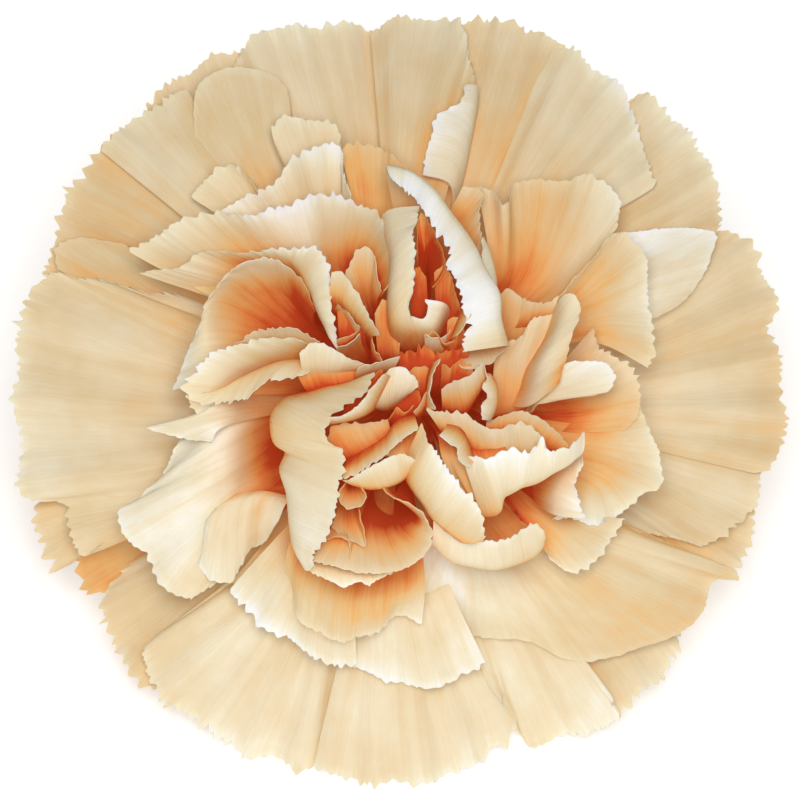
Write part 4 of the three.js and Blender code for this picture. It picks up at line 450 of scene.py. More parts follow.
      [[4.4, -2.9, 24.5], [5.8, -3.4, 24.3], [6.6, -4.8, 24], [7, -6, 23.6]],
      [[3.7, -3.7, 26], [4.4, -4.3, 26], [5.3, -4.7, 25.8], [5.8, -6.3, 25.6], [6.8, -7, 25.4]],
      [0.2, 0.1, 2]],
    ["m6b", [-1.6, -2],
      [[-5, -7.5, 20], [-5.4, -8.4, 19.5], [-5, -9, 19], [-4.2, -8.6, 19.5], [-3.8, -7.8, 20]],
      [[-5.9, -8.6, 22.5], [-6.3, -9.8, 22], [-5.4, -10.9, 21.8], [-4.2, -10.8, 22], [-3.6, -9.6, 22.4],
        [-4.2, -8.7, 22.8]],
      [0.2, 0.1, 2]],
    ["m6c", [-1.8, -2.2],
      [[-6, -10, 15], [-5.2, -10.5, 15.5], [-4.6, -10.3, 16], [-4.3, -9.6, 16.5]],
      [[-7, -12.8, 19], [-5.2, -14.1, 19.5], [-3.6, -14.8, 19.5], [-3.9, -13, 20], [-4.2, -11.2, 20.5]],
      [0.1, 0.1, 2]],
    ["m22", [-1, 2],
      [[-4.4, 10.4, 15.6], [-3.9, 11, 15.8], [-3.2, 10.8, 16], [-2.5, 9.6, 16.2]],
      [[-5.6, 12, 17], [-5, 13.7, 17.2], [-4.1, 15, 17.3], [-2.9, 14.5, 17.6], [-2.5, 12.5, 18],
        [-2.1, 10.6, 18]],
      [0.1, 0.1, 2]],
    ["m22b", [-0.4, 1.8],
      [[-2.4, 4.4, 17], [-1.6, 4.6, 17], [-0.9, 4.4, 17], [-0.3, 3.8, 16.8]],
      [[-2.7, 8.4, 19], [-1.9, 9.8, 19.5], [-1.2, 9.3, 19.5], [-0.8, 7.5, 19], [-0.2, 5.5, 18]],
      [0.1, 0.1, 2]],
    ["m21", [-1, 1.6],
      [[-7.1, 10.2, 21.5], [-6.2, 9.8, 21.5], [-5.3, 8.9, 21.5], [-4.4, 7.9, 21.4], [-3.6, 6.8, 21],
        [-3, 6.1, 20.5]],
      [[-7, 12.4, 22.8], [-5.8, 12.3, 23.2], [-4.8, 10.9, 23.6], [-3.8, 9.2, 23.5], [-2.9, 7.5, 23],
        [-2.3, 6.2, 22]],
      [0.15, 0.1, 2]],
    ["m21b", [-1.2, 1.4],
      [[-6.9, 8.9, 19], [-5.8, 7.9, 19], [-5, 7, 19], [-4.6, 6.2, 18.8]],
      [[-7, 9.9, 20.5], [-5.9, 9, 20.8], [-5, 8, 21], [-4.2, 6.9, 20.5]],
      [0.15, 0.1, 2]],
    ["m21c", [-1.4, 1.2],
      [[-6.5, 4.9, 18.5], [-5.2, 5.4, 18.5], [-4.2, 6.1, 18]],
      [[-6.6, 5.6, 20], [-5.4, 6.1, 20], [-4.1, 6.7, 19.5]],
      [0.1, 0.1, 1]],
    ["m21d", [-1, 1.4],
      [[-3.1, 5.6, 18], [-2.9, 4.2, 17.5], [-2.3, 3.4, 17]],
      [[-3.2, 6.9, 20], [-2.7, 5, 19.5], [-2, 3.6, 18.5]],
      [0.1, 0.1, 1]],
    ["m20l", [2, 2],
      [[1.9, 10.5, 15.5], [2.1, 12.5, 15.5], [2.3, 14.5, 15.5], [2.6, 14.5, 15.6], [2.9, 13, 15.8],
        [2.8, 11, 16]],
      [[1.6, 14, 19.5], [1.5, 17, 18.8], [1.8, 18.4, 18.6], [2.7, 17.3, 19.2], [3.5, 15.8, 20],
        [4.2, 14.3, 20.8], [4.1, 12.6, 21.4], [3, 11, 21.4]],
      [0.15, 0.1, 2]],
    ["m20", [1.2, 2.2],
      [[-1.8, 18.3, 17.2], [-1.3, 16.5, 18.8], [-0.9, 14.5, 20.2], [-1, 12, 21.2], [-1.1, 9.5, 21.6],
        [-0.8, 7.6, 21.6], [1, 6.7, 21.4], [3, 7, 21.6], [4.3, 9.4, 22]],
      [[1.6, 19.2, 18.5], [1.4, 17.5, 20], [1, 16, 21.4], [1.3, 14, 22], [1.2, 11.5, 22.6], [0.7, 9.6, 22.8],
        [0.8, 8.2, 22.6], [2.4, 8.2, 22.6], [2.3, 9.8, 22.8]],
      [0.25, 0.1, 3]],
    ["m18", [1.8, 2.6],
      [[4.2, 17, 9.5], [4.9, 16.3, 10], [5.6, 15, 10.5], [6.2, 13.5, 11]],
      [[6, 21, 11], [8, 20.6, 11.5], [7.6, 18.3, 12.5], [7.9, 16, 13.5], [7.9, 14.4, 14.5]],
      [0.2, 0.1, 2]],
    ["m19b", [2.8, 1.8],
      [[4.5, 9, 10], [5.5, 8, 10], [6.5, 6.5, 10]],
      [[8, 16, 15.5], [8.9, 14, 16.4], [9.3, 12, 17], [9.4, 10, 17.4], [9.7, 8, 17.4]],
      [[7.9, 15.8, 16.5], [8, 14, 18.2], [8.1, 12, 19], [8.3, 10, 19.6], [8.5, 8, 19.8]],
      [0.1, 0.1, 2]],
    ["m19", [2.4, 1.6],
      [[0.5, 12, 9], [2.5, 11.5, 9.5], [4.5, 10, 10], [5.8, 8, 10], [6, 5.5, 10], [5.5, 3.5, 10]],
      [[-1.6, 23.1, 15.5], [0.8, 22.6, 17.2], [3, 20.8, 18.8], [5.2, 17.9, 20.6], [7.2, 14.8, 22],
        [8.3, 12.5, 22.8], [9.4, 10.5, 23], [9.8, 7.6, 22.6], [10.4, 5.2, 21.4]],
      [[-1.2, 22, 17], [1.8, 19.2, 19.8], [3.5, 16.4, 21.8], [4.8, 14.6, 23], [4.4, 13.2, 23.8],
        [5.6, 11.9, 24.4], [5.9, 10.2, 24.8], [6.1, 8.7, 25], [6.8, 7.2, 25], [6.2, 6.2, 24.4],
        [6.1, 4.7, 23.4]],
      [0.4, 0.2, 4]],
    ["m24e", [3.4, 1.2],
      [[10, 5.5, 16], [8.6, 5.4, 17], [7.4, 5, 17.5], [6.3, 4.8, 17.5], [5.8, 4.2, 17.5]],
      [[10.7, 5.1, 18], [9.6, 4.2, 19], [8.6, 3.3, 20], [6.5, 2.9, 20.5], [5.7, 3.3, 20.5]],
      [0.1, 0.1, 2]],
    ["m24d", [2.8, 1.4],
      [[6.2, 8.8, 23.5], [5.6, 7.4, 23], [5, 6, 22.5]],
      [[6.9, 8.3, 25], [6.2, 7.3, 25], [5.4, 6.2, 24.5]],
      [0.1, 0.1, 1]],
    ["m24c", [2.2, 1.8],
      [[2.5, 5, 18], [3.3, 5.2, 18], [4.2, 4.8, 18], [4.8, 4.8, 18]],
      [[2.3, 6.1, 21], [3.2, 6.6, 21.5], [4.3, 5.4, 21.5], [5.3, 5.8, 21]],
      [0.15, 0.1, 2]],
    ["m25", [3.2, 0.6],
      [[4, -1, 19.5], [5, -1.2, 19.6], [6.2, -1.3, 19.8], [7.6, 0.5, 20.4], [8.6, 2.4, 21.4], [9.2, 1.4, 22],
        [9.4, 0, 22], [9.1, -1.2, 21.8], [8.7, -2.2, 21.2]],
      [[3.9, 0.8, 21], [5.2, 1.7, 21.5], [6.7, 2.2, 22], [8.1, 3.4, 23], [8.4, 2, 23.2], [7.9, 1.1, 23.2],
        [8.6, 0.2, 23.2], [7.9, -0.8, 22.8], [7.8, -2.1, 22.3]],
      [0.15, 0.1, 3]],
    ["m24", [2.4, 0.6],
      [[3.1, 3.4, 22.5], [2.7, 2, 22.6], [2.5, 0.3, 22.5], [2.5, -1, 22]],
      [[3.8, 3.9, 24], [3.2, 2.6, 24.2], [2.8, 0.5, 24], [3.3, -1.2, 23.5]],
      [0.1, 0.1, 2]],
    ["m24b", [1.8, 0],
      [[2.6, -0.4, 21], [2.2, -1.2, 21], [1.5, -1.9, 21]],
      [[2.5, 0.8, 22.5], [1.8, -0.6, 22.5], [1.2, -1.5, 22.3]],
      [0.1, 0.1, 1]],
    ["m26", [0.4, 0.8],
      [[-2.6, -0.6, 22.6], [-1.4, -0.5, 22.2], [-0.2, 0, 21.8], [0.7, 0.5, 21.8]],
      [[-2.2, 1.4, 24], [-1.4, 2.7, 24], [0.2, 3, 24], [1.4, 1.9, 23.6], [1.6, 1.1, 23.2]],
      [0.1, 0.1, 2]],
    ["m26r", [-0.6, 0.4],
      [[-1.4, 2.3, 25], [-2.6, 0.2, 25], [-3.6, -1.2, 25], [-5, -2, 24.6], [-7.3, -2.5, 24]],
      [[-1.8, 2.4, 26.4], [-3.2, 0.7, 26.6], [-4.2, -0.6, 26.6], [-5.4, -1.5, 26.2], [-7.3, -2, 25.4]],
      [0.1, 0.1, 2]],
    ["m27", [-0.4, -0.8],
      [[-6.4, -6.4, 20.2], [-4.8, -5.8, 20.4], [-3.4, -5, 20.8], [-2.2, -4.2, 21], [-1, -3.4, 21]],
      [[-7.4, -4.6, 21], [-7, -3, 21.8], [-5, -2.5, 22.2], [-3.2, -2.5, 22.4], [-1.4, -2.2, 22.6]],
      [0.15, 0.1, 2]],
    ["m27a", [0.6, -1],
      [[1.4, -2.2, 24.5], [-0.5, -2.9, 24], [-1.8, -4.5, 23.5], [-3.6, -5.8, 23.2], [-5.8, -7, 23]],
      [[1.6, -2.9, 25.5], [0.3, -3.9, 25.4], [-1, -4.9, 25], [-2.5, -6.3, 24.6], [-4.3, -7.4, 24.2],
        [-5.9, -7.9, 23.8]],
      [0.2, 0.1, 2]],
    ["m27b", [0.6, -1.6],
      [[1.4, -6.9, 22.5], [0, -8, 22.3], [-1.5, -8.7, 22.2], [-3.3, -9, 22], [-4.4, -8.7, 22]],
      [[1.5, -6.2, 24.5], [0, -5.6, 24.8], [-1.6, -6, 24.8], [-3.3, -7, 24.4], [-5, -7.9, 24],
        [-5.8, -8.2, 23.6]],
      [0.2, 0.1, 2]],
]

# Small curls and scraps deep between the petals of the heart, too fine for the solid.
SCRAPS = [
    ["s1", [1.6, 0.6],
      [[-0.2, 2.2, 17.5], [1.5, 1.6, 17.3], [3.2, 1.4, 17.3], [5, 1.6, 17.5], [6.4, 2.2, 18]],
      [[-0.4, 3.9, 19], [1, 4.7, 19.5], [2.6, 5, 19.2], [4.2, 4.7, 19.6], [5.6, 5.1, 19.4], [6.6, 4.6, 19.6]],
      [0.9, 0.3, 6]],
    ["s2", [1.2, 0.2],
      [[0.9, 0.4, 19], [1.8, 0.2, 19], [2.7, 0.4, 19]],
      [[0.7, 2.6, 20.5], [1.6, 3.1, 20.8], [2.9, 2.9, 20.6]],
      [0.15, 0.1, 2]],
    ["s3", [1.8, 1.6],
      [[2.3, 5.3, 19.6], [3.4, 5, 19.6], [4.6, 5.2, 19.6]],
      [[2.2, 6.3, 21], [3.3, 6, 21.3], [4.4, 6.1, 21.4], [5, 7.6, 21.6]],
      [0.1, 0.1, 2]],
    ["s4", [2.2, 1.6],
      [[4.2, 5, 19.5], [5.2, 5, 19.5], [6.2, 5.2, 19.5]],
      [[4.6, 7.6, 22], [5.4, 8.2, 22.3], [6, 7.4, 22.4], [6.4, 6, 22.3]],
      [0.15, 0.2, 2]],
    ["s5", [-0.4, -0.6],
      [[-1.6, -2.6, 20], [-0.6, -2.4, 20], [0.4, -2.2, 20]],
      [[-1.3, -2.2, 22], [-0.6, -1, 22.4], [0.2, -1.4, 22.3], [1.2, -0.9, 22.3]],
      [0.15, 0.1, 2]],
    ["s6", [0, -0.4],
      [[-0.8, -1.2, 19], [0.4, -1.6, 19], [1.4, -1.6, 19]],
      [[-1.2, -0.3, 20.5], [0.3, 0.3, 20.8], [1.6, 0.6, 20.8], [2, -0.4, 20.6]],
      [0.15, 0.1, 2]],
    ["s7", [0.4, -1.2],
      [[1.4, -2.4, 20.5], [0.4, -3, 20.5], [-0.8, -3.8, 20.5]],
      [[1.9, -5, 22.3], [0.9, -6, 22.6], [-0.6, -6, 22.6], [-2.2, -5.6, 22.2]],
      [0.15, 0.1, 2]],
    ["s8", [1.6, -1.4],
      [[3.6, -4, 20.5], [4.6, -4, 20.8], [5.8, -4.6, 21]],
      [[4, -6, 21.8], [5.2, -6.2, 22.2], [6.4, -6.4, 22.4]],
      [[6, -9.6, 20.6], [7, -10, 21], [8, -10.2, 21]],
      [0.15, 0.2, 2]],
    ["s9", [2, -1],
      [[5.6, -3.4, 20.5], [7, -3.6, 20.5], [8.6, -4, 20.5], [10, -4.3, 20.5]],
      [[6, -6, 22], [7.4, -6, 22.4], [9, -6, 22.6], [10.4, -5.4, 22.6]],
      [0.1, 0.1, 2]],
    ["s10", [2, 0.2],
      [[3.8, 1.2, 18.5], [5, 1, 18.5], [6.2, 1.4, 18.6]],
      [[4, 3.4, 20.2], [4.8, 3, 20.6], [5.6, 3.7, 20.4], [6.6, 3.3, 20.4], [7, 2.6, 20]],
      [0.2, 0.2, 2]],
    ["s12", [-1.2, 1.2],
      [[-6.2, 6.2, 18.5], [-5, 6, 18.5], [-3.6, 6, 18.5]],
      [[-6.4, 8.6, 20], [-5, 8.8, 20.3], [-4, 7.8, 20.2], [-3, 6.8, 20]],
      [0.15, 0.15, 2]],
    ["s14", [-1, -0.2],
      [[-5.8, -1.6, 21.5], [-4.5, -1.2, 21.5], [-3, 0, 21.5], [-2, 1.4, 21.5]],
      [[-5.6, -0.9, 23], [-4.4, 0.4, 23.2], [-3.2, 1.9, 23.4], [-1.9, 2.8, 23.4]],
      [0.1, 0.1, 2]],
    ["s15", [-1.6, 0.2],
      [[-4.6, 2.2, 21.5], [-2.6, 2.8, 22], [-0.6, 3.3, 22]],
      [[-4.4, 3, 23], [-2.4, 3.5, 23.4], [-0.2, 4.2, 23]],
      [0.15, 0.1, 2]],
    ["s16", [-1.2, -2.2],
      [[-6.4, -12.2, 17.5], [-5.4, -12.8, 17.8], [-4.6, -13.4, 18]],
      [[-8.2, -14.4, 19.4], [-7, -13.9, 19.7], [-5.4, -14.1, 19.7], [-5.2, -16, 19.6]],
      [0.1, 0.1, 2]],
    ["s18", [-2, 0.2],
      [[-9.5, 0.8, 19], [-6.5, 1, 19.4], [-3.5, 1.8, 19.8]],
      [[-10.5, 2.5, 20.4], [-8, 2.9, 20.8], [-5, 3.2, 21], [-3.4, 3.2, 21.2]],
      [0.05, 0.1, 2]],
    ["s19", [1, 1.8],
      [[0.9, 8.6, 18.5], [1.8, 8.4, 18.5], [2.6, 8.8, 18.5]],
      [[0.9, 12.5, 20.5], [1.6, 13, 20.8], [2.4, 12, 20.6]],
      [0.15, 0.1, 2]],
    ["s20", [2, 1.8],
      [[3.4, 7.5, 18], [4.6, 7.2, 18], [5.6, 6.8, 18]],
      [[3.2, 12.4, 20.5], [4.2, 13.2, 21], [5, 11.5, 21], [5.8, 8.4, 21]],
      [0.25, 0.1, 2]],
    ["s17", [-1.6, 0.6],
      [[-6.4, 4.2, 17.5], [-5, 4.8, 17.8], [-4, 5.4, 18]],
      [[-6.5, 5, 21], [-5.2, 5.4, 21.2], [-4.2, 6.4, 21.2]],
      [0.05, 0.05, 1]],
]

# How warm and dark each petal is at its claw, at each station and at its rim: partly the petals' own tone, partly
# painted shade of folds, hollows and petals that lie in shadow. 0 is white, 0.22 cream, 0.48 tan, 0.67 apricot, 0.83
# orange, 1 dark red. A tuple runs across the petal.
TONE_AND_SHADE = {
    "g20": (0.7, 0.62, 0.62), "g21": (0.6, 0.52, 0.44), "g13": (0.6, 0.5, 0.38), "g15": (0.5, 0.42, 0.3),
    "g19": (0.6, 0.45, 0.4), "g3b": (0.6, 0.45, 0.38), "g8": (0.6, 0.48, 0.38),
    "g10": (0.6, 0.46, (0.24, 0.22, 0.3, 0.36)), "g2": (0.6, 0.52, (0.36, 0.46, 0.48, 0.46)),
    "g5": (0.6, 0.4, (0.3, 0.22, 0.26, 0.4)), "g17": (0.6, 0.4, (0.3, 0.2, 0.3, 0.22)),
    "g12": (0.6, 0.44, 0.36), "g18": (0.6, 0.42, (0.26, 0.2, 0.22, 0.3, 0.4)),
    "g16": (0.5, 0.34, (0.12, 0.18, 0.24, 0.2)), "g11": (0.6, 0.4, (0.34, 0.36, 0.44, 0.42, 0.4)),
    "g3": (0.6, 0.44, (0.34, 0.3, 0.32, 0.4)), "g9": (0.6, 0.52, (0.3, 0.22, 0.14, 0.2, 0.24)),
    "g2b": (0.6, 0.55, 0.48), "g4": (0.6, 0.46, (0.5, 0.44, 0.34, 0.36, 0.42)),
    "g7": (0.6, 0.55, (0.4, 0.3, 0.28, 0.34, 0.2)), "g7b": (0.5, 0.2, 0.1),
    "g1": (0.6, (0.55, 0.5, 0.46, 0.5), (0.34, 0.4, 0.3, 0.22, 0.34, 0.55)),
    "g10b": (0.5, 0.24, (0.1, 0.04, 0.04, 0.16, 0.34, 0.26)), "m23": (0.9, 0.72, 0.6), "m1c": (0.8, 0.5, 0.3),
    "m1d": (0.8, 0.45, (0.4, 0.3, 0.22, 0.14)), "m7c": (0.7, 0.34, 0.14),
    "g14": (0.6, (0.6, 0.5, 0.44, 0.2, 0.06), (0.5, 0.5, 0.4, 0.5, 0.4, 0.14, 0.04)), "m1b": (0.9, 0.6, 0.12),
    "m4": (1, (0.8, 0.9, 1, 0.95, 0.9), (0.14, 0.12, 0.14, 0.2, 0.3, 0.46, 0.5), (0.28, 0.2, 0.14, 0.14, 0.2, 0.3)),
    "m4b": (1, 0.8, (0.4, 0.3, 0.34, 0.4, 0.3, 0.3, 0.5, 0.3, 0.36),
            (0.3, 0.26, 0.2, 0.24, 0.28, 0.26, 0.4, 0.3, 0.26)),
    "m4c": (1, 0.6, (0.34, 0.36, 0.4)), "m7": (0.9, (0.5, 0.45, 0.45, 0.55), (0.04, 0.06, 0.1, 0.16)),
    "m7b": (0.9, 0.84, (0.36, 0.34, 0.28, 0.26)),
    "m17": (1, (0.95, 0.92, 0.84, 0.7, 0.55, 0.5), (0.3, 0.42, 0.46, 0.4, 0.36, 0.28, 0.24)),
    "m17b": (1, 0.68, (0.3, 0.4, 0.3, 0.24, 0.3, 0.4)),
    "m16": (1, (0.6, 0.7, 0.9, 0.95, 0.9), (0.42, 0.4, 0.36, 0.5)),
    "m13": (1, 0.88, (0.66, 0.62, 0.58, 0.58), (0.32, 0.24, 0.2, 0.18, 0.22)),
    "m14": (1, (1, 0.95, 0.66, 0.5, 0.46), (0.34, 0.26, 0.2, 0.2)),
    "m1": (1, (0.5, 0.62, 0.74, 0.7, 0.34, 0.8, 1, 1, 1), (0.34, 0.26, 0.2, 0.14, 0.08, 0.12, 0.24, 0.3)),
    "m28": (1, 0.66, 0.36), "m28b": (1, 0.7, 0.46, 0.34), "m28c": (1, 0.7, 0.42),
    "m2": (1, (0.5, 0.55, 0.6, 0.6, 0.5, 0.3, 0.22), (0.3, 0.28, 0.26, 0.2, 0.14, 0.1, 0.08)),
    "m2b": (1, (0.84, 0.86, 0.86, 0.88, 0.92, 0.96), (0.3, 0.32, 0.34, 0.34, 0.38, 0.46, 0.6, 0.85, 0.95),
            (0.14, 0.14, 0.16, 0.16, 0.16, 0.2, 0.3, 0.55, 0.9)),
    "m3b": (1, 0.5, 0.26), "m3": (0.9, 0.42, (0.2, 0.22, 0.26, 0.3, 0.24, 0.18, 0.18, 0.18)),
    "m3r": (0.9, 0.4, 0.2), "m3t": (0.9, 0.6, (0.3, 0.2, 0.16), (0.3, 0.3, 0.2, 0.14, 0.2)),
    "m6o": (0.9, 0.4, 0.16), "m8": (1, 0.75, 0.3, 0.14), "m13w": (1, 0.9, 0.3, 0.1),
    "m5": (1, 0.8, (0.5, 0.48, 0.44, 0.36, 0.28, 0.2), (0.4, 0.36, 0.3, 0.24, 0.16, 0.08)),
    "m6": (1, 1, (0.7, 0.66, 0.66, 0.8, 0.9), (0.36, 0.3, 0.3, 0.36, 0.5)),
    "m15": (1, 0.8, (0.3, 0.3, 0.26, 0.22), (0.9, 0.8, 0.5, 0.34, 0.24, 0.16)),
    "m15b": (0.9, 0.3, (0.1, 0.2, 0.34, 0.2), (0.06, 0.08, 0.12, 0.2, 0.26, 0.14)), "m11b": (1, 0.82, 0.42),
    "m11": (1, (0.8, 0.78, 0.7, 0.5, 0.45, 0.45), (0.34, 0.36, 0.36, 0.26, 0.22, 0.2)),
    "m10": (1, 0.85, (0.66, 0.52, 0.34, 0.26, 0.2, 0.2), (0.14, 0.06, 0.06, 0.06, 0.1, 0.1)),
    "m9": (1, 0.82, (0.64, 0.52, 0.46, 0.5, 0.6), (0.5, 0.2, 0.06, 0.06, 0.12, 0.3)),
    "m12": (1, 0.7, (0.1, 0.2, 0.3, 0.25)), "m6b": (1, 0.7, 0.42), "m6c": (1, 0.8, 0.5), "m22": (1, 0.7, 0.4),
    "m22b": (1, 0.8, 0.55), "m21": (1, 0.7, 0.3), "m21b": (1, 0.7, 0.36), "m21c": (1, 0.8, 0.4),
    "m21d": (1, 0.8, 0.4), "m20l": (1, 0.85, 0.7),
    "m20": (1, (0.3, 0.3, 0.34, 0.3, 0.34, 0.46, 0.5, 0.36, 0.2), (0.16, 0.2, 0.24, 0.2, 0.14, 0.1)),
    "m18": (1, 0.8, 0.4), "m19b": (1, 0.6, 0.2, 0.1),
    "m19": (1, 0.75, (0.14, 0.1, 0.1, 0.1, 0.12, 0.14, 0.42), (0, 0, 0, 0, 0, 0.02, 0.24)),
    "m24e": (1, 0.5, 0.3), "m24d": (1, 0.7, 0.4), "m24c": (1, 0.85, 0.55),
    "m25": (1, (0.85, 0.8, 0.7, 0.6, 0.4, 0.3), (0.36, 0.3, 0.3, 0.16, 0.1)), "m24": (1, 0.7, 0.25),
    "m24b": (1, 0.8, 0.4), "m26": (1, 0.4, 0.2), "m26r": (1, 0.5, 0.2),
    "m27": (1, (0.9, 0.76, 0.7, 0.72), (0.72, 0.6, 0.55, 0.5)), "m27a": (1, 0.68, 0.3),
    "m27b": (1, (0.5, 0.5, 0.6, 0.8), (0.28, 0.24, 0.26, 0.36)),
    "s1": (1, (1, 0.95, 1, 0.92), (0.95, 0.86, 0.96, 0.84)), "s2": (1, 0.85, 0.66), "s3": (1, 0.4, 0.2),
    "s4": (1, (0.9, 0.7, 0.9), (0.7, 0.5, 0.6)), "s5": (1, 0.92, 0.7), "s6": (1, 0.96, 0.82),
    "s7": (1, 0.76, 0.5), "s8": (1, 0.76, 0.5, 0.5), "s9": (1, 0.95, 0.7), "s10": (1, 0.9, (0.66, 0.8, 0.7)),
    "s12": (1, 0.9, 0.7), "s14": (1, 0.96, 0.82), "s15": (1, 0.45, 0.25), "s16": (1, 0.7, 0.55),
    "s17": (1, 0.6, 0.2), "s18": (1, 0.84, 0.66), "s19": (1, 0.95, 0.82), "s20": (1, 0.92, 0.72),
}

# How far from the station behind it each change of tone and painted shade lies: above 1 it keeps close to the next one.
LATE = {"m7b": 0.6, "m4": 0.9, "m17": 0.75, "m17b": 1.0, "m13": 1.0, "m16": 0.8, "m1": 1.2, "m2b": 2.0, "m20": 1.0}


# ---- sizes and colours a user may change ----
def size_mm(name, description, default, low=0.0):
    return bpy.props.FloatProperty(
        name=name, description=description, default=default * MM, min=low * MM, unit="LENGTH", precision=5
    )


def tint(name, description, default):
    return bpy.props.FloatVectorProperty(
        name=name, description=description, default=srgb(*default), size=3, subtype="COLOR", min=0.0, max=1.0
    )


def srgb(r, g, b):
    """An 8-bit colour as the linear values that Blender works with."""
    return tuple((c / 255 / 12.92) if c <= 10 else ((c / 255 + 0.055) / 1.055) ** 2.4 for c in (r, g, b))


class CarnationPetals(bpy.types.PropertyGroup):
    blade: size_mm("Blade thickness", "Thickness of a petal in its middle", 0.26, 0.1)
    edge: size_mm("Rim thickness", "Thickness of a petal at its rim", 0.08, 0.05)
    tooth_pitch: size_mm("Tooth pitch", "Mean distance between teeth along the rim", 1.15, 0.4)
    crinkle: size_mm("Crinkle", "Depth of the fine waves behind the rim", 0.06)
    pleat: size_mm("Pleats", "Depth of the soft pleats that run from claw to rim", 0.025)
    # painted shade: how far the colour is pushed warmer and darker where neighbours hide the sky and where blades stand
    # steeply, standing in for shade and warm light through the petals
    painted_shade: bpy.props.FloatProperty(name="Glow", description="How much warmer a petal is between others", default=0.35)
    # apricot, orange and dark red also paint shade: the painted shade pushes folds, hollows and steep walls up the
    # scale towards them
    white: tint("White", "The palest rims", (252, 250, 245))
    cream: tint("Cream", "Pale blades", (239, 227, 197))
    tan: tint("Tan", "Outer blades", (224, 199, 155))
    apricot: tint("Apricot", "Warm folds", (225, 177, 112))
    orange: tint("Orange", "Deep folds", (220, 138, 72))
    red: tint("Dark red", "The foot of the inner petals", (200, 80, 39))


class CarnationGreens(bpy.types.PropertyGroup):
    calyx: tint("Calyx", "Waxy green of the tube", (128, 150, 104))
    bracts: tint("Bracts", "Green of the bracts", (112, 138, 88))
    stem: tint("Stem", "Green of the stem", (124, 150, 100))
    pith: tint("Pith", "Pale cut face of the stem", (214, 222, 176))
    ribs: bpy.props.IntProperty(name="Ribs", description="Fine ribs round the calyx", default=35, min=5, max=80)


class CarnationStage(bpy.types.PropertyGroup):
    floor: bpy.props.FloatProperty(name="Floor", description="Width of the floor", default=8.0, unit="LENGTH")
    sky: bpy.props.FloatProperty(name="Sky", description="Strength of the even light from all round", default=0.25)
    lamp: bpy.props.FloatProperty(name="Lamp", description="Power of the soft lamp", default=6.5, unit="POWER")


# ---- curves ----
def random_for(name):
    """The repeatable random sequence of one petal, the same as in the part's source."""
    state = 7
    for letter in name:
        state = (state * 31 + ord(letter)) & 0xFFFFFFFF
    while True:
        state = (state * 1664525 + 1013904223) & 0xFFFFFFFF
        yield state / 4294967296


def spline(points, t):
    """Points on centripetal curves through points, an array (k, n, 3), at t from 0 to k - 1."""
    k = len(points)
    p = np.concatenate([[2 * points[0] - points[1]], points, [2 * points[-1] - points[-2]]])
    i = np.clip(np.floor(t).astype(int), 0, k - 2)
    f = (t - i)[:, None, None]
    p0, p1, p2, p3 = p[i], p[i + 1], p[i + 2], p[i + 3]

    def gap(a, b):
        return np.maximum(np.sum((a - b) ** 2, axis=-1, keepdims=True) ** 0.25, 1e-4)

    d0, d1, d2 = gap(p0, p1), gap(p1, p2), gap(p2, p3)
    a = ((p1 - p0) / d0 - (p2 - p0) / (d0 + d1) + (p2 - p1) / d1) * d1
    b = ((p2 - p1) / d1 - (p3 - p1) / (d1 + d2) + (p3 - p2) / d2) * d1
    return p1 + a * f + (-3 * p1 + 3 * p2 - 2 * a - b) * f**2 + (2 * p1 - 2 * p2 + a + b) * f**3


def station_curve(points):
    """A finely sampled station and its running length."""
    p = np.array(points, float)[:, None, :]
    line = spline(p, np.linspace(0, len(p) - 1, SAMPLES * (len(p) - 1) + 1))[:, 0]
    length = np.concatenate([[0], np.cumsum(np.linalg.norm(np.diff(line, axis=0), axis=1))])
    return line, length


def along(line, length, u):
    """Points at the shares u of a station's length."""
    return np.stack([np.interp(u * length[-1], length, line[:, k]) for k in range(3)], axis=-1)


def unit(v):
    return v / np.maximum(np.linalg.norm(v, axis=-1, keepdims=True), 1e-9)


def place(points):
    """From the bloom's own frame in millimetres to the part's frame in metres."""
    p = np.asarray(points, float)
    y = p[..., 1] * math.cos(TILT) - p[..., 2] * math.sin(TILT)
    z = p[..., 1] * math.sin(TILT) + p[..., 2] * math.cos(TILT)
    return np.stack([p[..., 0] + SHIFT.x, y + SHIFT.y, z + SHIFT.z], axis=-1) * MM


def place_matrix():
    """The same for a whole mesh."""
    shift = Matrix.Translation(SHIFT * MM)
    return shift @ Matrix.Rotation(TILT, 4, "X") @ Matrix.Scale(MM, 4)
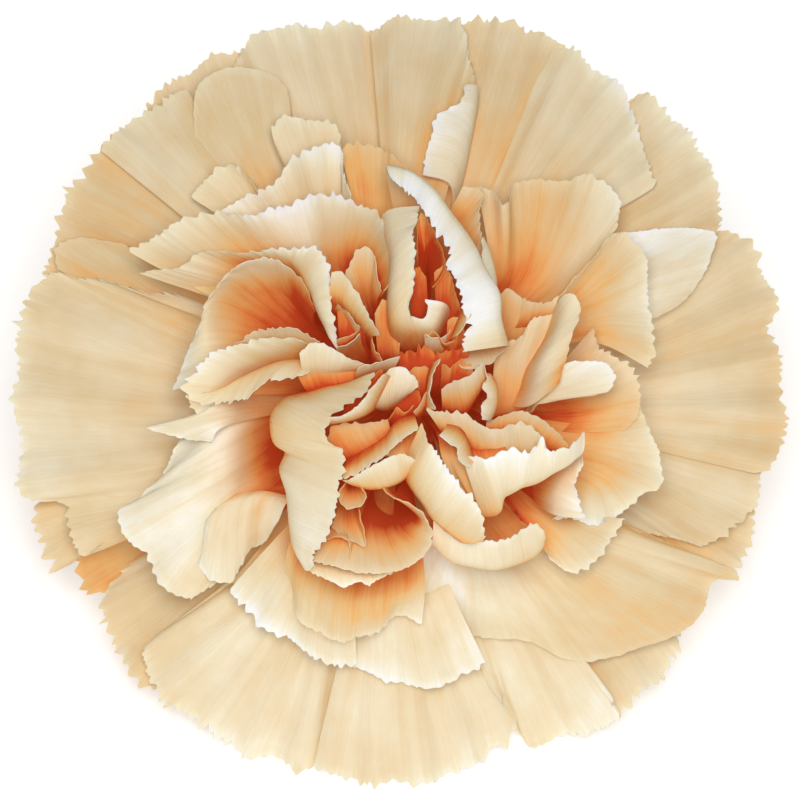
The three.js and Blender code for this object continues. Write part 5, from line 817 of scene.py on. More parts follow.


# ---- how much of the sky the petals hide round each place, for the painted shade ----
class Crowd:
    """How much of the sky over each place on a blade its neighbours hide: this paints shade and a warm glow of light
    through the thin petals into their colour between others.
    """

    def __init__(self, rows):
        self.grids = {}
        vertices, quads = [], []
        for row in rows:
            p, t, u = coarse_blade(row)
            self.grids[row[0]] = (p, t, u)
            index = np.arange(p.shape[0] * p.shape[1]).reshape(p.shape[:2]) + len(vertices)
            vertices += [Vector(q) for q in p.reshape(-1, 3)]
            corners = [index[:-1, :-1], index[1:, :-1], index[1:, 1:], index[:-1, 1:]]
            quads += np.stack(corners, axis=-1).reshape(-1, 4).tolist()
        self.tree = BVHTree.FromPolygons(vertices, quads)
        self.rays = []
        for a, n, offset in SKY:
            for k in range(n):
                turn = 2 * math.pi * (k + offset) / n
                ray = Vector((math.sin(a) * math.cos(turn), math.sin(a) * math.sin(turn), math.cos(a)))
                self.rays.append((ray, math.cos(a) / n))
        self.whole = sum(weight for _, weight in self.rays)

    def hidden(self, name, t, u):
        """The hidden share at each t and u of a petal, as a grid."""
        p, t_coarse, u_coarse = self.grids[name]
        normal = unit(np.cross(np.gradient(p, axis=0), np.gradient(p, axis=1)))
        normal = normal * np.where(normal[..., 2:] < 0, -1, 1)
        start = p + normal * OFF_BLADE + OFF_UP
        share = np.zeros(p.shape[:2])
        for i in range(p.shape[0]):
            for j in range(p.shape[1]):
                origin = Vector(start[i, j])
                for ray, weight in self.rays:
                    distance = self.tree.ray_cast(origin, ray, REACH)[3]
                    if distance is not None:
                        share[i, j] += weight * (1 - distance / REACH)
        share /= self.whole
        for _ in range(2):
            # smooth it along the petal, and then across it
            wide = np.pad(share, 1, mode="edge")
            share = (wide[:-2, 1:-1] + 2 * share + wide[2:, 1:-1]) / 4
            wide = np.pad(share, 1, mode="edge")
            share = (wide[1:-1, :-2] + 2 * share + wide[1:-1, 2:]) / 4
        across = np.array([np.interp(u, u_coarse, line) for line in share])
        return np.array([np.interp(t, t_coarse, across[:, k]) for k in range(len(u))]).T


def coarse_blade(row):
    """A petal's middle surface with few points, and where they lie along and across it."""
    claw, stations = row[1], row[2:-1]
    curves = [station_curve(s) for s in stations]
    u = np.linspace(0, 1, int(np.clip(curves[-1][1][-1] / COARSE, *COARSE_COLUMNS)))
    through = petal_columns(claw, curves, u)
    last = len(stations) + 1
    t = np.linspace(1.3, last, COARSE_ROWS * (last - 1))
    return spline(through, t), t, u


def petal_columns(claw, curves, u):
    """The points that every column of a blade runs through, from below the claw to beyond the rim."""
    side = curves[0][0][-1] - curves[0][0][0]
    side[2] = 0
    start = np.array([claw[0], claw[1], CLAW_HEIGHT]) + unit(side) * ((u - 0.5) * CLAW_WIDTH)[:, None]
    through = [start - (0, 0, CLAW_DEPTH), start] + [along(line, length, u) for line, length in curves]
    through.append(through[-1] * 1.4 - through[-2] * 0.4)
    return np.array(through)


# ---- one petal ----
def pick(draw, low, span):
    """A random value from low to low + span."""
    return low + span * next(draw)


def rim_teeth(length, depth, pitch, draw):
    """The rim's outline as positions and reaches: uneven pointed teeth with small gaps between them."""
    s, reach = [0.0], [0.0]
    at, run, left = 0.0, 1.0, 0
    while at < length:
        if left == 0:
            # teeth come in runs, some small and some bold
            run, left = pick(draw, 0.5, 0.75), 2 + int(4 * next(draw))
        left -= 1
        step = pitch * run * pick(draw, 0.45, 1.1)
        tall = depth * run * pick(draw, 0.1, 1.15)
        s += [at + step * pick(draw, 0.3, 0.4), at + step]
        reach += [tall, -depth * run * pick(draw, 0.1, 0.75)]
        at += step
    return np.array(s), np.array(reach)


def soft_noise(s, wavelengths, draw):
    """Smooth uneven waves along s, about 1 high, from the sum of some wavelengths."""
    total = np.zeros_like(s)
    for w in wavelengths:
        total += np.sin(2 * np.pi * (s / w + next(draw)) + 1.3 * np.sin(2 * np.pi * (s / (2.7 * w) + next(draw))))
    return total / len(wavelengths)


def spread_tone_and_shade(values, t, u, late):
    """The tone and painted shade of every point from the values at claw, stations and rim; late holds the change back.
    """
    rows = []
    for value in values:
        value = value if isinstance(value, tuple) else (value, value)
        rows.append(np.interp(u, np.linspace(0, 1, len(value)), value))
    rows = np.array(rows)
    k = np.clip(t - 1, 0, len(rows) - 1)
    i = np.minimum(np.floor(k).astype(int), len(rows) - 2)
    f = (k - i)[:, None] ** late
    return rows[i] * (1 - f) + rows[i + 1] * f


def blade_rows(middle, last):
    """Where the rows of points lie on a blade, and how far from its rim: close together there, wider apart behind."""
    t_fine = np.linspace(1, last, 200)
    line = spline(middle, t_fine)[:, 0]
    run = np.concatenate([[0], np.cumsum(np.linalg.norm(np.diff(line, axis=0), axis=1))])
    total = run[-1]
    reach = np.cumsum(ROW_STEPS)
    reach = np.append(reach[reach < total - LAST_STEP], total)[::-1]
    return np.interp(total - reach, run, t_fine), reach


def sheet(upper, lower):
    """Points and quads of a closed blade from the grids of its two faces, with its rims marked 1 and 2."""
    rows, cols = upper.shape[:2]
    half = rows * cols
    index = np.arange(half).reshape(rows, cols)
    top = np.stack([index[:-1, :-1], index[:-1, 1:], index[1:, 1:], index[1:, :-1]], axis=-1).reshape(-1, 4)
    ring = np.concatenate([index[0, :], index[1:, -1], index[-1, -2::-1], index[-2:0:-1, 0]])
    following = np.roll(ring, -1)
    strip = np.stack([ring, ring + half, following + half, following], axis=-1)
    border = np.zeros(2 * half, int)
    border[ring], border[ring + half] = 1, 2
    points = np.concatenate([upper.reshape(-1, 3), lower.reshape(-1, 3)])
    return points, np.concatenate([top, top[:, ::-1] + half, strip]), border


def petal(row, opts):
    """Points, faces, UVs, tone with painted shade, and distance from the rim of one petal blade with two faces."""
    name, claw, *rest = row
    stations, (tooth, wave, waves) = rest[:-1], rest[-1]
    guard = name[0] == "g"
    draw = random_for(name)
    phase = next(draw) * 2 * math.pi
    curves = [station_curve(s) for s in stations]
    rim_length = curves[-1][1][-1]
    columns = int(np.clip(rim_length / COLUMN, *COLUMNS))
    u = np.linspace(0, 1, columns + 1)
    through = petal_columns(claw, curves, u)
    last = len(stations) + 1
    t, reach = blade_rows(through[:, columns // 2 : columns // 2 + 1], last)
    p = spline(through, t)
    out = unit(p - spline(through, t - 0.04 * (last - 1)))
    normal = unit(np.cross(out, unit(np.gradient(p, axis=1))))
    v = ((t - 1) / (last - 1))[:, None]
    s = (u * rim_length)[None, :]
    from_rim = reach[:, None] + 0 * s
    # large waves as in the solid
    p = p + normal * (WAVE * wave * v**2 * np.sin(phase + u * waves * 2 * np.pi))[..., None]
    # pleats that run from claw to rim, and crinkles behind the rim
    near = np.clip(1 - from_rim / CRINKLED, 0, 1) ** 1.5
    body = np.clip(from_rim / THINNED, 0, 1) * np.clip(v * 1.6 - 0.3, 0, 1)
    pleat = soft_noise(s, PLEATS, draw) * opts["pleat"]
    crinkle = soft_noise(s, CRINKLES, draw) * opts["crinkle"] * (0.5 + tooth)
    p = p + normal * (pleat * (0.45 + 0.55 * body) * v + crinkle * near)[..., None]
    # teeth, and the small curls of the rim that carries them
    if not guard:
        tooth = 0.1 + 0.9 * tooth
    teeth = np.interp(s[0], *rim_teeth(rim_length, tooth, opts["pitch"] * (1 if guard else INNER_PITCH), draw))
    teeth = teeth + SWAY * tooth * soft_noise(s[0], SWAYS, draw)
    grip = np.clip(1 - from_rim / TOOTHED, 0, 1) ** 1.4
    p = p + out * (teeth[None, :] * grip)[..., None]
    curl = soft_noise(s, CURLS, draw) * CURL * (0.3 + tooth)
    p = p + normal * (curl * grip)[..., None]
    # the lowest blades lie flat on the table
    height = p @ UP + SHIFT.z
    p = p + UP * np.maximum(HEM - height, 0)[..., None]
    normal = unit(np.cross(np.gradient(p, axis=0), np.gradient(p, axis=1)))
    thick = opts["edge"] + (opts["blade"] - opts["edge"]) * np.clip(from_rim / THINNED, 0, 1)
    half_blade = normal * (thick / 2)[..., None]
    points, faces, border = sheet(p + half_blade, p - half_blade)
    late = LATE.get(name, LATE_GUARD if guard else LATE_INNER)
    tone_and_shade = spread_tone_and_shade(TONE_AND_SHADE[name], t, u, late) + (next(draw) - 0.5) * JITTER
    # painted shade and painted glow: tissue that stands steeply, or close between others, is coloured warmer and darker
    # in place of its shade and the warm light that passes through the petals
    steep = 1 - np.abs(normal[..., 2])
    hidden_shade = np.maximum(opts["crowd"].hidden(name, t, u) - OPEN_SHARE, 0)
    tone_and_shade = tone_and_shade + opts["painted_shade"] * (hidden_shade + STEEP_PAINTED_SHADE * steep**1.5)
    uv = np.stack([s + 0 * v, reach[0] - from_rim], axis=-1)
    return {
        "points": points,
        "faces": faces[:, ::-1],
        "uv": np.tile(uv.reshape(-1, 2), (2, 1)),
        "tone_and_shade": np.tile(tone_and_shade.reshape(-1), 2),
        "rim": np.tile(from_rim.reshape(-1), 2),
        "border": border,
    }


def mesh_piece(name, patches, material, values=()):
    """One object at the origin from several patches of points and quads, with their point values and UVs."""
    offset, points, faces = 0, [], []
    for patch in patches:
        points.append(patch["points"])
        faces.append(np.asarray(patch["faces"]) + offset)
        offset += len(patch["points"])
    points = place(np.concatenate(points))
    faces = np.concatenate(faces)
    mesh = bpy.data.meshes.new(name)
    mesh.vertices.add(len(points))
    mesh.vertices.foreach_set("co", points.astype(np.float32).ravel())
    mesh.loops.add(faces.size)
    mesh.loops.foreach_set("vertex_index", faces.astype(np.int32).ravel())
    mesh.polygons.add(len(faces))
    mesh.polygons.foreach_set("loop_start", np.arange(0, faces.size, 4, dtype=np.int32))
    mesh.polygons.foreach_set("use_smooth", np.ones(len(faces), bool))
    uv = np.concatenate([patch["uv"] for patch in patches])
    layer = mesh.uv_layers.new(name="run")
    layer.data.foreach_set("uv", uv[faces.ravel()].astype(np.float32).ravel())
    for value in values:
        data = np.concatenate([patch[value] for patch in patches]).astype(np.float32)
        mesh.attributes.new(value, "FLOAT", "POINT").data.foreach_set("value", data)
    mesh.update(calc_edges=True)
    mesh.validate()
    if "border" in patches[0]:
        # the thin side of a blade keeps its own shading, so the rim stays crisp
        border = np.concatenate([patch["border"] for patch in patches])
        ends = np.empty(2 * len(mesh.edges), np.int32)
        mesh.edges.foreach_get("vertices", ends)
        a, b = border[ends[::2]], border[ends[1::2]]
        mesh.attributes.new("sharp_edge", "BOOLEAN", "EDGE").data.foreach_set("value", (a == b) & (a > 0))
    mesh.materials.append(material)
    piece = bpy.data.objects.new(name, mesh)
    bpy.context.collection.objects.link(piece)
    return piece


def declare(piece, node):
    """Every piece of a cut flower rides its one body."""
    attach(piece, "root")
    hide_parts(node)


# ---- materials ----
def set_inputs(node, values):
    for key, value in values.items():
        node.inputs[key].default_value = value


class Tree:
    """Short hand for building a node tree from left to right."""

    def __init__(self, tree):
        self.tree = tree
        self.tree.nodes.clear()
        self.x = 0

    def node(self, kind, values=None, **settings):
        made = self.tree.nodes.new(kind)
        self.x += 180
        made.location = (self.x, 0)
        for key, value in settings.items():
            setattr(made, key, value)
        set_inputs(made, values or {})
        return made

    def link(self, source, target):
        self.tree.links.new(source, target)

    def math(self, operation, a, b=None, clamp=False):
        made = self.node("ShaderNodeMath", operation=operation, use_clamp=clamp)
        for socket, value in zip(made.inputs, (a, b)):
            if value is None:
                continue
            if isinstance(value, (int, float)):
                socket.default_value = value
            else:
                self.link(value, socket)
        return made.outputs[0]

    def spread(self, value, low, high, to_low=0.0, to_high=1.0):
        limits = {"From Min": low, "From Max": high, "To Min": to_low, "To Max": to_high}
        made = self.node("ShaderNodeMapRange", limits, clamp=True)
        self.link(value, made.inputs["Value"])
        return made.outputs["Result"]

    def mix(self, factor, a, b, **settings):
        """A colour mix; each of factor, a and b is a value or the output that gives it."""
        made = self.node("ShaderNodeMix", data_type="RGBA", **settings)
        for key, value in (("Factor", factor), ("A", a), ("B", b)):
            if isinstance(value, (float, tuple)):
                made.inputs[key].default_value = value
            else:
                self.link(value, made.inputs[key])
        return made.outputs["Result"]


def fibres_group():
    """Fine lines that run along a plant's surface: streaks for colour and a height for relief."""
    known = bpy.data.node_groups.get("plant fibres")
    if known:
        return known
    group = bpy.data.node_groups.new("plant fibres", "ShaderNodeTree")
    face = group.interface
    face.new_socket(name="Along", in_out="INPUT", socket_type="NodeSocketVector")
    for key in ("Lines", "Stretch"):
        face.new_socket(name=key, in_out="INPUT", socket_type="NodeSocketFloat")
    for key in ("Streaks", "Height"):
        face.new_socket(name=key, in_out="OUTPUT", socket_type="NodeSocketFloat")
    t = Tree(group)
    entry = t.node("NodeGroupInput")
    parts = t.node("ShaderNodeSeparateXYZ")
    t.link(entry.outputs["Along"], parts.inputs[0])
    joined = t.node("ShaderNodeCombineXYZ")
    t.link(t.math("MULTIPLY", parts.outputs["X"], entry.outputs["Lines"]), joined.inputs["X"])
    t.link(t.math("MULTIPLY", parts.outputs["Y"], entry.outputs["Stretch"]), joined.inputs["Y"])
    wide = t.node("ShaderNodeTexNoise", {"Scale": 0.55, "Detail": 3.0, "Roughness": 0.6})
    fine = t.node("ShaderNodeTexNoise", {"Scale": 2.2, "Detail": 2.0})
    for noise in (wide, fine):
        t.link(joined.outputs[0], noise.inputs["Vector"])
    lines = t.math("ABSOLUTE", t.math("SUBTRACT", fine.outputs["Fac"], 0.5))
    lines = t.spread(lines, 0.0, 0.16, 1.0, 0.0)
    leave = t.node("NodeGroupOutput")
    t.link(wide.outputs["Fac"], leave.inputs["Streaks"])
    t.link(t.math("ADD", t.math("MULTIPLY", lines, 0.6), wide.outputs["Fac"]), leave.inputs["Height"])
    return group


def new_material(name, colour, roughness):
    material = bpy.data.materials.new(name)
    material.use_nodes = True
    material.diffuse_color = (*colour, 1)
    t = Tree(material.node_tree)
    leave = t.node("ShaderNodeOutputMaterial")
    shader = t.node("ShaderNodeBsdfPrincipled", {"Roughness": roughness, "Base Color": (*colour, 1)})
    t.link(shader.outputs[0], leave.inputs["Surface"])
    return material, t, shader


def fibres(t, lines, stretch):
    """The fibre pattern on a piece: how many lines there are, and how short they run."""
    uv = t.node("ShaderNodeUVMap", uv_map="run")
    group = t.node("ShaderNodeGroup", node_tree=fibres_group())
    set_inputs(group, {"Lines": lines, "Stretch": stretch})
    t.link(uv.outputs[0], group.inputs["Along"])
    return group


def bump(t, shader, height, strength, distance):
    made = t.node("ShaderNodeBump", {"Strength": strength, "Distance": distance})
    t.link(height, made.inputs["Height"])
    t.link(made.outputs[0], shader.inputs["Normal"])


def petal_material(colours):
    """Pale rims, faint streaks and veins, a colour that follows the tone and painted shade of each place, and a faint
    painted glow.
    """
    material, t, shader = new_material("petal", colours.tan, 0.72)
    tone_and_shade = t.node("ShaderNodeAttribute", attribute_name="tone_and_shade")
    rim = t.node("ShaderNodeAttribute", attribute_name="rim")
    lines = fibres(t, 1.0, 0.05)
    pale_rim = t.spread(rim.outputs["Fac"], 0.0, 1.1, 0.06, 0.0)
    streak = t.spread(lines.outputs["Streaks"], 0.3, 0.7, -0.045, 0.045)
    veins = t.spread(lines.outputs["Height"], 0.75, 1.15, -0.025, 0.025)
    run = t.node("ShaderNodeUVMap", uv_map="run")
    blotch = t.node("ShaderNodeTexNoise", {"Scale": 0.13, "Detail": 3.0})
    t.link(run.outputs[0], blotch.inputs["Vector"])
    soft = t.math("ADD", streak, t.spread(blotch.outputs["Fac"], 0.3, 0.7, -0.1, 0.1))
    value = t.math("ADD", t.math("ADD", tone_and_shade.outputs["Fac"], soft), veins)
    value = t.math("SUBTRACT", value, pale_rim, clamp=True)
    ramp = t.node("ShaderNodeValToRGB")
    t.link(value, ramp.inputs["Fac"])
    stops = ramp.color_ramp.elements
    while len(stops) < len(PALETTE):
        stops.new(0.5)
    for stop, (key, position) in zip(stops, PALETTE.items()):
        stop.position = position
        stop.color = (*getattr(colours, key), 1)
    t.link(ramp.outputs["Color"], shader.inputs["Base Color"])
    # painted glow: a faint emission in the warm colour stands in for the light that reaches the deeper tissue through
    # its thin neighbours
    painted_glow = t.mix(1.0, ramp.outputs["Color"], t.spread(value, 0.25, 0.9), blend_type="MULTIPLY")
    t.link(painted_glow, shader.inputs["Emission Color"])
    set_inputs(shader, {
        "Emission Strength": 0.13,
        "Subsurface Weight": 0.4,
        "Subsurface Radius": (0.8, 0.6, 0.4),
        "Subsurface Scale": 0.0003,
        "Specular IOR Level": 0.12,
    })
    bump(t, shader, lines.outputs["Height"], 0.25, 0.00010)
    return material


def shade(colour, factor, lift=0.0):
    return (*[min(1.0, c * factor + lift) for c in colour], 1.0)


def green_material(name, colour, lines, roughness, pale=None):
    """A waxy green with streaks that run along the piece; pale is the colour of the lighter ones."""
    material, t, shader = new_material(name, colour, roughness)
    streaks = fibres(t, lines, 0.03)
    pale = shade(pale, 1.0) if pale else shade(colour, 1.22, 0.02)
    mixed = t.mix(t.spread(streaks.outputs["Streaks"], 0.35, 0.65), shade(colour, 0.82), pale)
    t.link(mixed, shader.inputs["Base Color"])
    set_inputs(shader, {"Subsurface Weight": 0.15, "Subsurface Scale": 0.0015, "Coat Weight": 0.08})
    bump(t, shader, streaks.outputs["Height"], 0.3, 0.00008)
    return material


def pith_material(colour):
    """The pale cut face of the stem, with its cells."""
    material, t, shader = new_material("cut stem", colour, 0.7)
    coords = t.node("ShaderNodeTexCoord")
    cells = t.node("ShaderNodeTexVoronoi", {"Scale": 3500}, feature="DISTANCE_TO_EDGE")
    t.link(coords.outputs["Object"], cells.inputs["Vector"])
    mixed = t.mix(t.spread(cells.outputs["Distance"], 0.0, 0.12), shade(colour, 0.8), shade(colour, 1.0))
    t.link(mixed, shader.inputs["Base Color"])
    bump(t, shader, cells.outputs["Distance"], 0.3, 0.0001)
    return material


# ---- the green pieces ----
def calyx_radius(z):
    """Half the width of the calyx at a height."""
    t = (z - CALYX_FOOT) / (0 - CALYX_FOOT)
    return CALYX_NARROW + CALYX_SWELL * np.sin(np.minimum(1, t * 1.05) * math.pi / 2)


def turned(rings, segments):
    """A patch of quads from rings of (radius, height), each a pair or a function of the angle that gives one."""
    angle = np.linspace(0, 2 * math.pi, segments + 1)
    rows, uv, run = [], [], 0.0
    before = None
    for ring in rings:
        r, z = ring(angle) if callable(ring) else ring
        r = np.broadcast_to(r, angle.shape) + 0.0
        z = np.broadcast_to(z, angle.shape) + 0.0
        row = np.stack([r * np.cos(angle), r * np.sin(angle), z], axis=-1)
        if before is not None:
            run += float(np.mean(np.linalg.norm(row - before, axis=-1)))
        before = row
        rows.append(row[:-1])
        uv.append(np.stack([angle[:-1] * UV_RADIUS, np.full(segments, run)], axis=-1))
    index = np.arange(segments)
    following = (index + 1) % segments
    faces = []
    for k in range(0, (len(rings) - 1) * segments, segments):
        faces.append(np.stack([k + index, k + following, k + segments + following, k + segments + index], axis=-1))
    return {"points": np.concatenate(rows), "faces": np.concatenate(faces), "uv": np.concatenate(uv)}


def weld(piece, distance=0.00001):
    """Joins the points that meet, such as those on the axis, and turns every face outwards."""
    made = bmesh.new()
    made.from_mesh(piece.data)
    bmesh.ops.remove_doubles(made, verts=made.verts, dist=distance)
    bmesh.ops.dissolve_degenerate(made, edges=made.edges, dist=distance / 2)
    bmesh.ops.recalc_face_normals(made, faces=made.faces)
    made.to_mesh(piece.data)
    made.free()


def nodes_piece(name, build, material, settings):
    """A piece made by a Geometry Nodes tree, turned into a plain mesh at the origin."""
    tree = bpy.data.node_groups.new(name, "GeometryNodeTree")
    face = tree.interface
    face.new_socket(name="Geometry", in_out="OUTPUT", socket_type="NodeSocketGeometry")
    given = []
    for key, (kind, value) in settings.items():
        given.append((face.new_socket(name=key, in_out="INPUT", socket_type=kind).identifier, value))
    t = Tree(tree)
    entry, leave = t.node("NodeGroupInput"), t.node("NodeGroupOutput")
    shape = build(t, entry)
    realize = t.node("GeometryNodeRealizeInstances")
    finish = t.node("GeometryNodeSetMaterial")
    finish.inputs["Material"].default_value = material
    t.link(shape, realize.inputs[0])
    t.link(realize.outputs[0], finish.inputs["Geometry"])
    t.link(finish.outputs[0], leave.inputs[0])
    carrier = bpy.data.objects.new(name, bpy.data.meshes.new(name + " start"))
    bpy.context.collection.objects.link(carrier)
    modifier = carrier.modifiers.new("nodes", "NODES")
    modifier.node_group = tree
    for identifier, value in given:
        modifier[identifier] = value
    ready = carrier.evaluated_get(bpy.context.evaluated_depsgraph_get())
    mesh = bpy.data.meshes.new_from_object(ready)
    carrier.modifiers.remove(modifier)
    if not mesh.vertices:
        raise RuntimeError(name + " came out empty")
    mesh.transform(place_matrix())
    if not mesh.materials:
        mesh.materials.append(material)
    mesh.name = name
    carrier.data = mesh
    return carrier


def ribs_tree(t, entry):
    """Fine ribs that follow the calyx from foot to mouth, spaced evenly round it."""
    circle = t.node("GeometryNodeMeshCircle", {"Radius": 0.0001})
    t.link(entry.outputs["Ribs"], circle.inputs["Vertices"])
    path = t.node("GeometryNodeCurvePrimitiveBezierSegment", {"Resolution": 14}, mode="POSITION")
    set_inputs(path, {key: (r, 0, z) for key, (r, z) in RIB.items()})
    section = t.node("GeometryNodeCurvePrimitiveCircle", {"Resolution": 6})
    t.link(entry.outputs["Width"], section.inputs["Radius"])
    bar = t.node("GeometryNodeCurveToMesh", {"Fill Caps": True})
    t.link(path.outputs[0], bar.inputs["Curve"])
    t.link(section.outputs[0], bar.inputs["Profile Curve"])
    number = t.node("GeometryNodeInputIndex")
    turn = t.math("DIVIDE", t.math("MULTIPLY", number.outputs[0], 2 * math.pi), entry.outputs["Ribs"])
    angles = t.node("ShaderNodeCombineXYZ")
    t.link(turn, angles.inputs["Z"])
    spin = t.node("FunctionNodeEulerToRotation")
    t.link(angles.outputs[0], spin.inputs[0])
    copies = t.node("GeometryNodeInstanceOnPoints")
    t.link(circle.outputs[0], copies.inputs["Points"])
    t.link(bar.outputs[0], copies.inputs["Instance"])
    t.link(spin.outputs[0], copies.inputs["Rotation"])
    return copies.outputs[0]


# ---- operators ----
@functools.lru_cache(maxsize=1)
def crowd():
    """The neighbourhood of all petals, worked out once."""
    return Crowd(PETALS + SCRAPS)


def petal_options(settings):
    """What the user may change about the blades, in millimetres."""
    return {
        "blade": settings.blade / MM,
        "edge": settings.edge / MM,
        "pitch": settings.tooth_pitch / MM,
        "crinkle": settings.crinkle / MM,
        "pleat": settings.pleat / MM,
        "painted_shade": settings.painted_shade,
        "crowd": crowd(),
    }


def petal_group(context, name, wanted):
    """One piece of all the petals whose names wanted says yes to."""
    settings = context.scene.carnation_petals
    material = bpy.data.materials.get("petal") or petal_material(settings)
    opts = petal_options(settings)
    patches = [petal(row, opts) for row in PETALS + SCRAPS if wanted(row[0])]
    piece = mesh_piece(name, patches, material, ("tone_and_shade", "rim"))
    declare(piece, "corolla")
    return piece


# which piece each petal is part of
LOW_GUARDS = ("g20", "g21", "g13", "g15", "g19", "g3b", "g8", "g10", "g2", "g5", "g12", "g3")
OUTER = ("m23", "m1c", "m1d", "m7c", "m1b", "m4", "m4b", "m4c", "m7", "m7b")
MIDDLE = ("m17", "m17b", "m16", "m13", "m14", "m1", "m28", "m28b", "m28c", "m2", "m2b", "m3b", "m3", "m3r", "m3t")
SMALL = ("m21", "m22", "m24", "m25", "m26", "m27", "m6b", "m6c")


class CARNATION_OT_guards(bpy.types.Operator):
    """Make the outer petals that ring the bloom"""

    bl_idname = "carnation.guards"
    bl_label = "Outer petals"

    def execute(self, context):
        petal_group(context, "petals_outer_low", lambda n: n in LOW_GUARDS)
        petal_group(context, "petals_outer_high", lambda n: n[0] == "g" and n not in LOW_GUARDS)
        return {"FINISHED"}


class CARNATION_OT_middle(bpy.types.Operator):
    """Make the folded petals between the outer ones and the heart"""

    bl_idname = "carnation.middle"
    bl_label = "Middle petals"

    def execute(self, context):
        petal_group(context, "petals_middle_low", lambda n: n in OUTER)
        petal_group(context, "petals_middle_high", lambda n: n in MIDDLE)
        return {"FINISHED"}


class CARNATION_OT_heart(bpy.types.Operator):
    """Make the upright curled petals and petal scraps of the heart"""

    bl_idname = "carnation.heart"
    bl_label = "Heart petals"

    def execute(self, context):
        left = [row[0] for row in PETALS if row[0][0] == "m" and row[0] not in OUTER + MIDDLE]
        petal_group(context, "petals_heart", lambda n: n in left and not n.startswith(SMALL))
        petal_group(context, "petals_scraps", lambda n: n[0] == "s" or (n in left and n.startswith(SMALL)))
        return {"FINISHED"}


class CARNATION_OT_claws(bpy.types.Operator):
    """Make the bundle of narrow petal feet inside the calyx"""

    bl_idname = "carnation.claws"
    bl_label = "Petal claws"

    def execute(self, context):
        def ring(radius, z):
            return lambda a: (radius * (1 + 0.03 * np.cos(a * 17) + 0.02 * np.cos(a * 29 + 1)), z)

        rings = [ring(float(calyx_radius(z)) - CLAWS_INSET, z) for z in (-21, -17, -13, -9, -5, -2)]
        rings += [ring(*step) for step in CLAWS_HEAD]
        patch = turned([(0, -21)] + rings + [(0, 8.6)], 96)
        patch["tone_and_shade"] = np.interp(patch["points"][:, 2], (-21, -6, 0, 4), (0.2, 0.4, 0.85, 1))
        patch["rim"] = np.full(len(patch["points"]), 5.0)
        material = bpy.data.materials.get("petal") or petal_material(context.scene.carnation_petals)
        piece = mesh_piece("petal_claws", [patch], material, ("tone_and_shade", "rim"))
        weld(piece)
        declare(piece, "corolla")
        return {"FINISHED"}


class CARNATION_OT_calyx(bpy.types.Operator):
    """Make the green tube with its teeth and ribs"""

    bl_idname = "carnation.calyx"
    bl_label = "Calyx"

    def execute(self, context):
        greens = context.scene.carnation_greens
        material = green_material("calyx", greens.calyx, 0.9, 0.5)

        def rise(angle):
            """Five short teeth, from 0 between them to 1 at their tips."""
            saw = np.abs((angle * 5 / (2 * math.pi)) % 1 - 0.5) * 2
            return saw**1.15

        def lip(inset, part):
            def ring(angle):
                up = rise(angle) * part
                return calyx_radius(CALYX_MOUTH) + TOOTH_SPREAD * up - inset, CALYX_MOUTH + TOOTH_HEIGHT * up

            return ring

        outside = [(float(calyx_radius(z)), z) for z in (-24, -22.5, -21, -19, -17, -15, -13, -11, -9, -7, -5.6)]
        inside = [(float(calyx_radius(z)) - WALL, z) for z in (-5.2, -9, -13, -17, -21)]
        rings = [(0, -24.5), (2.6, -24.5), (4.0, -24.35)] + outside
        rings += [lip(*step) for step in LIP] + inside + [(3.2, -22.2), (0, -22.2)]
        piece = mesh_piece("calyx_tube", [turned(rings, 150)], material)
        weld(piece)
        declare(piece, "calyx")
        ribs = nodes_piece("calyx_ribs", ribs_tree, material,
                           {"Ribs": ("NodeSocketInt", greens.ribs), "Width": ("NodeSocketFloat", RIB_RADIUS)})
        declare(ribs, "calyx")
        return {"FINISHED"}


class CARNATION_OT_bracts(bpy.types.Operator):
    """Make the four pointed bracts and the plate that they grow from"""

    bl_idname = "carnation.bracts"
    bl_label = "Bracts"

    def execute(self, context):
        greens = context.scene.carnation_greens
        material = green_material("bracts", greens.bracts, 1.2, 0.55, srgb(150, 168, 120))
        patches = [turned(PLATE, 72)]
        for k in range(4):
            # two longer bracts inside, and two shorter ones outside
            height, out = (9.6, 0.0) if k % 2 else (8.4, 0.4)
            patches.append(bract(0.5 + k * math.pi / 2, height, out))
        piece = mesh_piece("bracts", patches, material)
        weld(piece, 0.000001)
        declare(piece, "epicalyx")
        return {"FINISHED"}


def bract(angle, height, out):
    """A pointed bract that hugs the calyx at an angle round it, with a keel down its middle."""
    v = np.linspace(0, 1, 22)[:, None]
    i = np.linspace(0, 1, 19)[None, :]
    across = (i - 0.5) * 2
    half_width = (BRACT_WIDTH * (0.75 + 1.1 * v - 1.8 * v**3) + 0.05) / 2
    tip = np.clip((v - 0.8) / 0.2, 0, 1)
    z = BRACT_FOOT + v * height + 0.9 * tip**2 * (1 - np.abs(across))
    a = angle + across * half_width / BRACT_RADIUS
    keel = 0.22 * np.exp(-((across / 0.12) ** 2)) * (1 - 0.5 * v)
    middle = calyx_radius(np.maximum(z, -24)) + 0.35 + out + 0.4 + 0.25 * v**3
    thick = 0.26 - 0.12 * np.abs(across) ** 3 - 0.08 * v
    faces = [np.stack([r * np.cos(a), r * np.sin(a), z], axis=-1) for r in (middle + thick + keel, middle - thick)]
    points, quads, _ = sheet(*faces)
    uv = np.stack([across * half_width, z], axis=-1).reshape(-1, 2)
    return {"points": points, "faces": quads, "uv": np.tile(uv, (2, 1))}


class CARNATION_OT_stem(bpy.types.Operator):
    """Make the short cut stem with its pale end"""

    bl_idname = "carnation.stem"
    bl_label = "Stem"

    def execute(self, context):
        greens = context.scene.carnation_greens
        material = green_material("stem", greens.stem, 1.4, 0.5)
        piece = mesh_piece("stem_stub", [turned(STEM, 64)], material)
        weld(piece)
        cut_at_table(piece, pith_material(greens.pith))
        declare(piece, "stem")
        return {"FINISHED"}


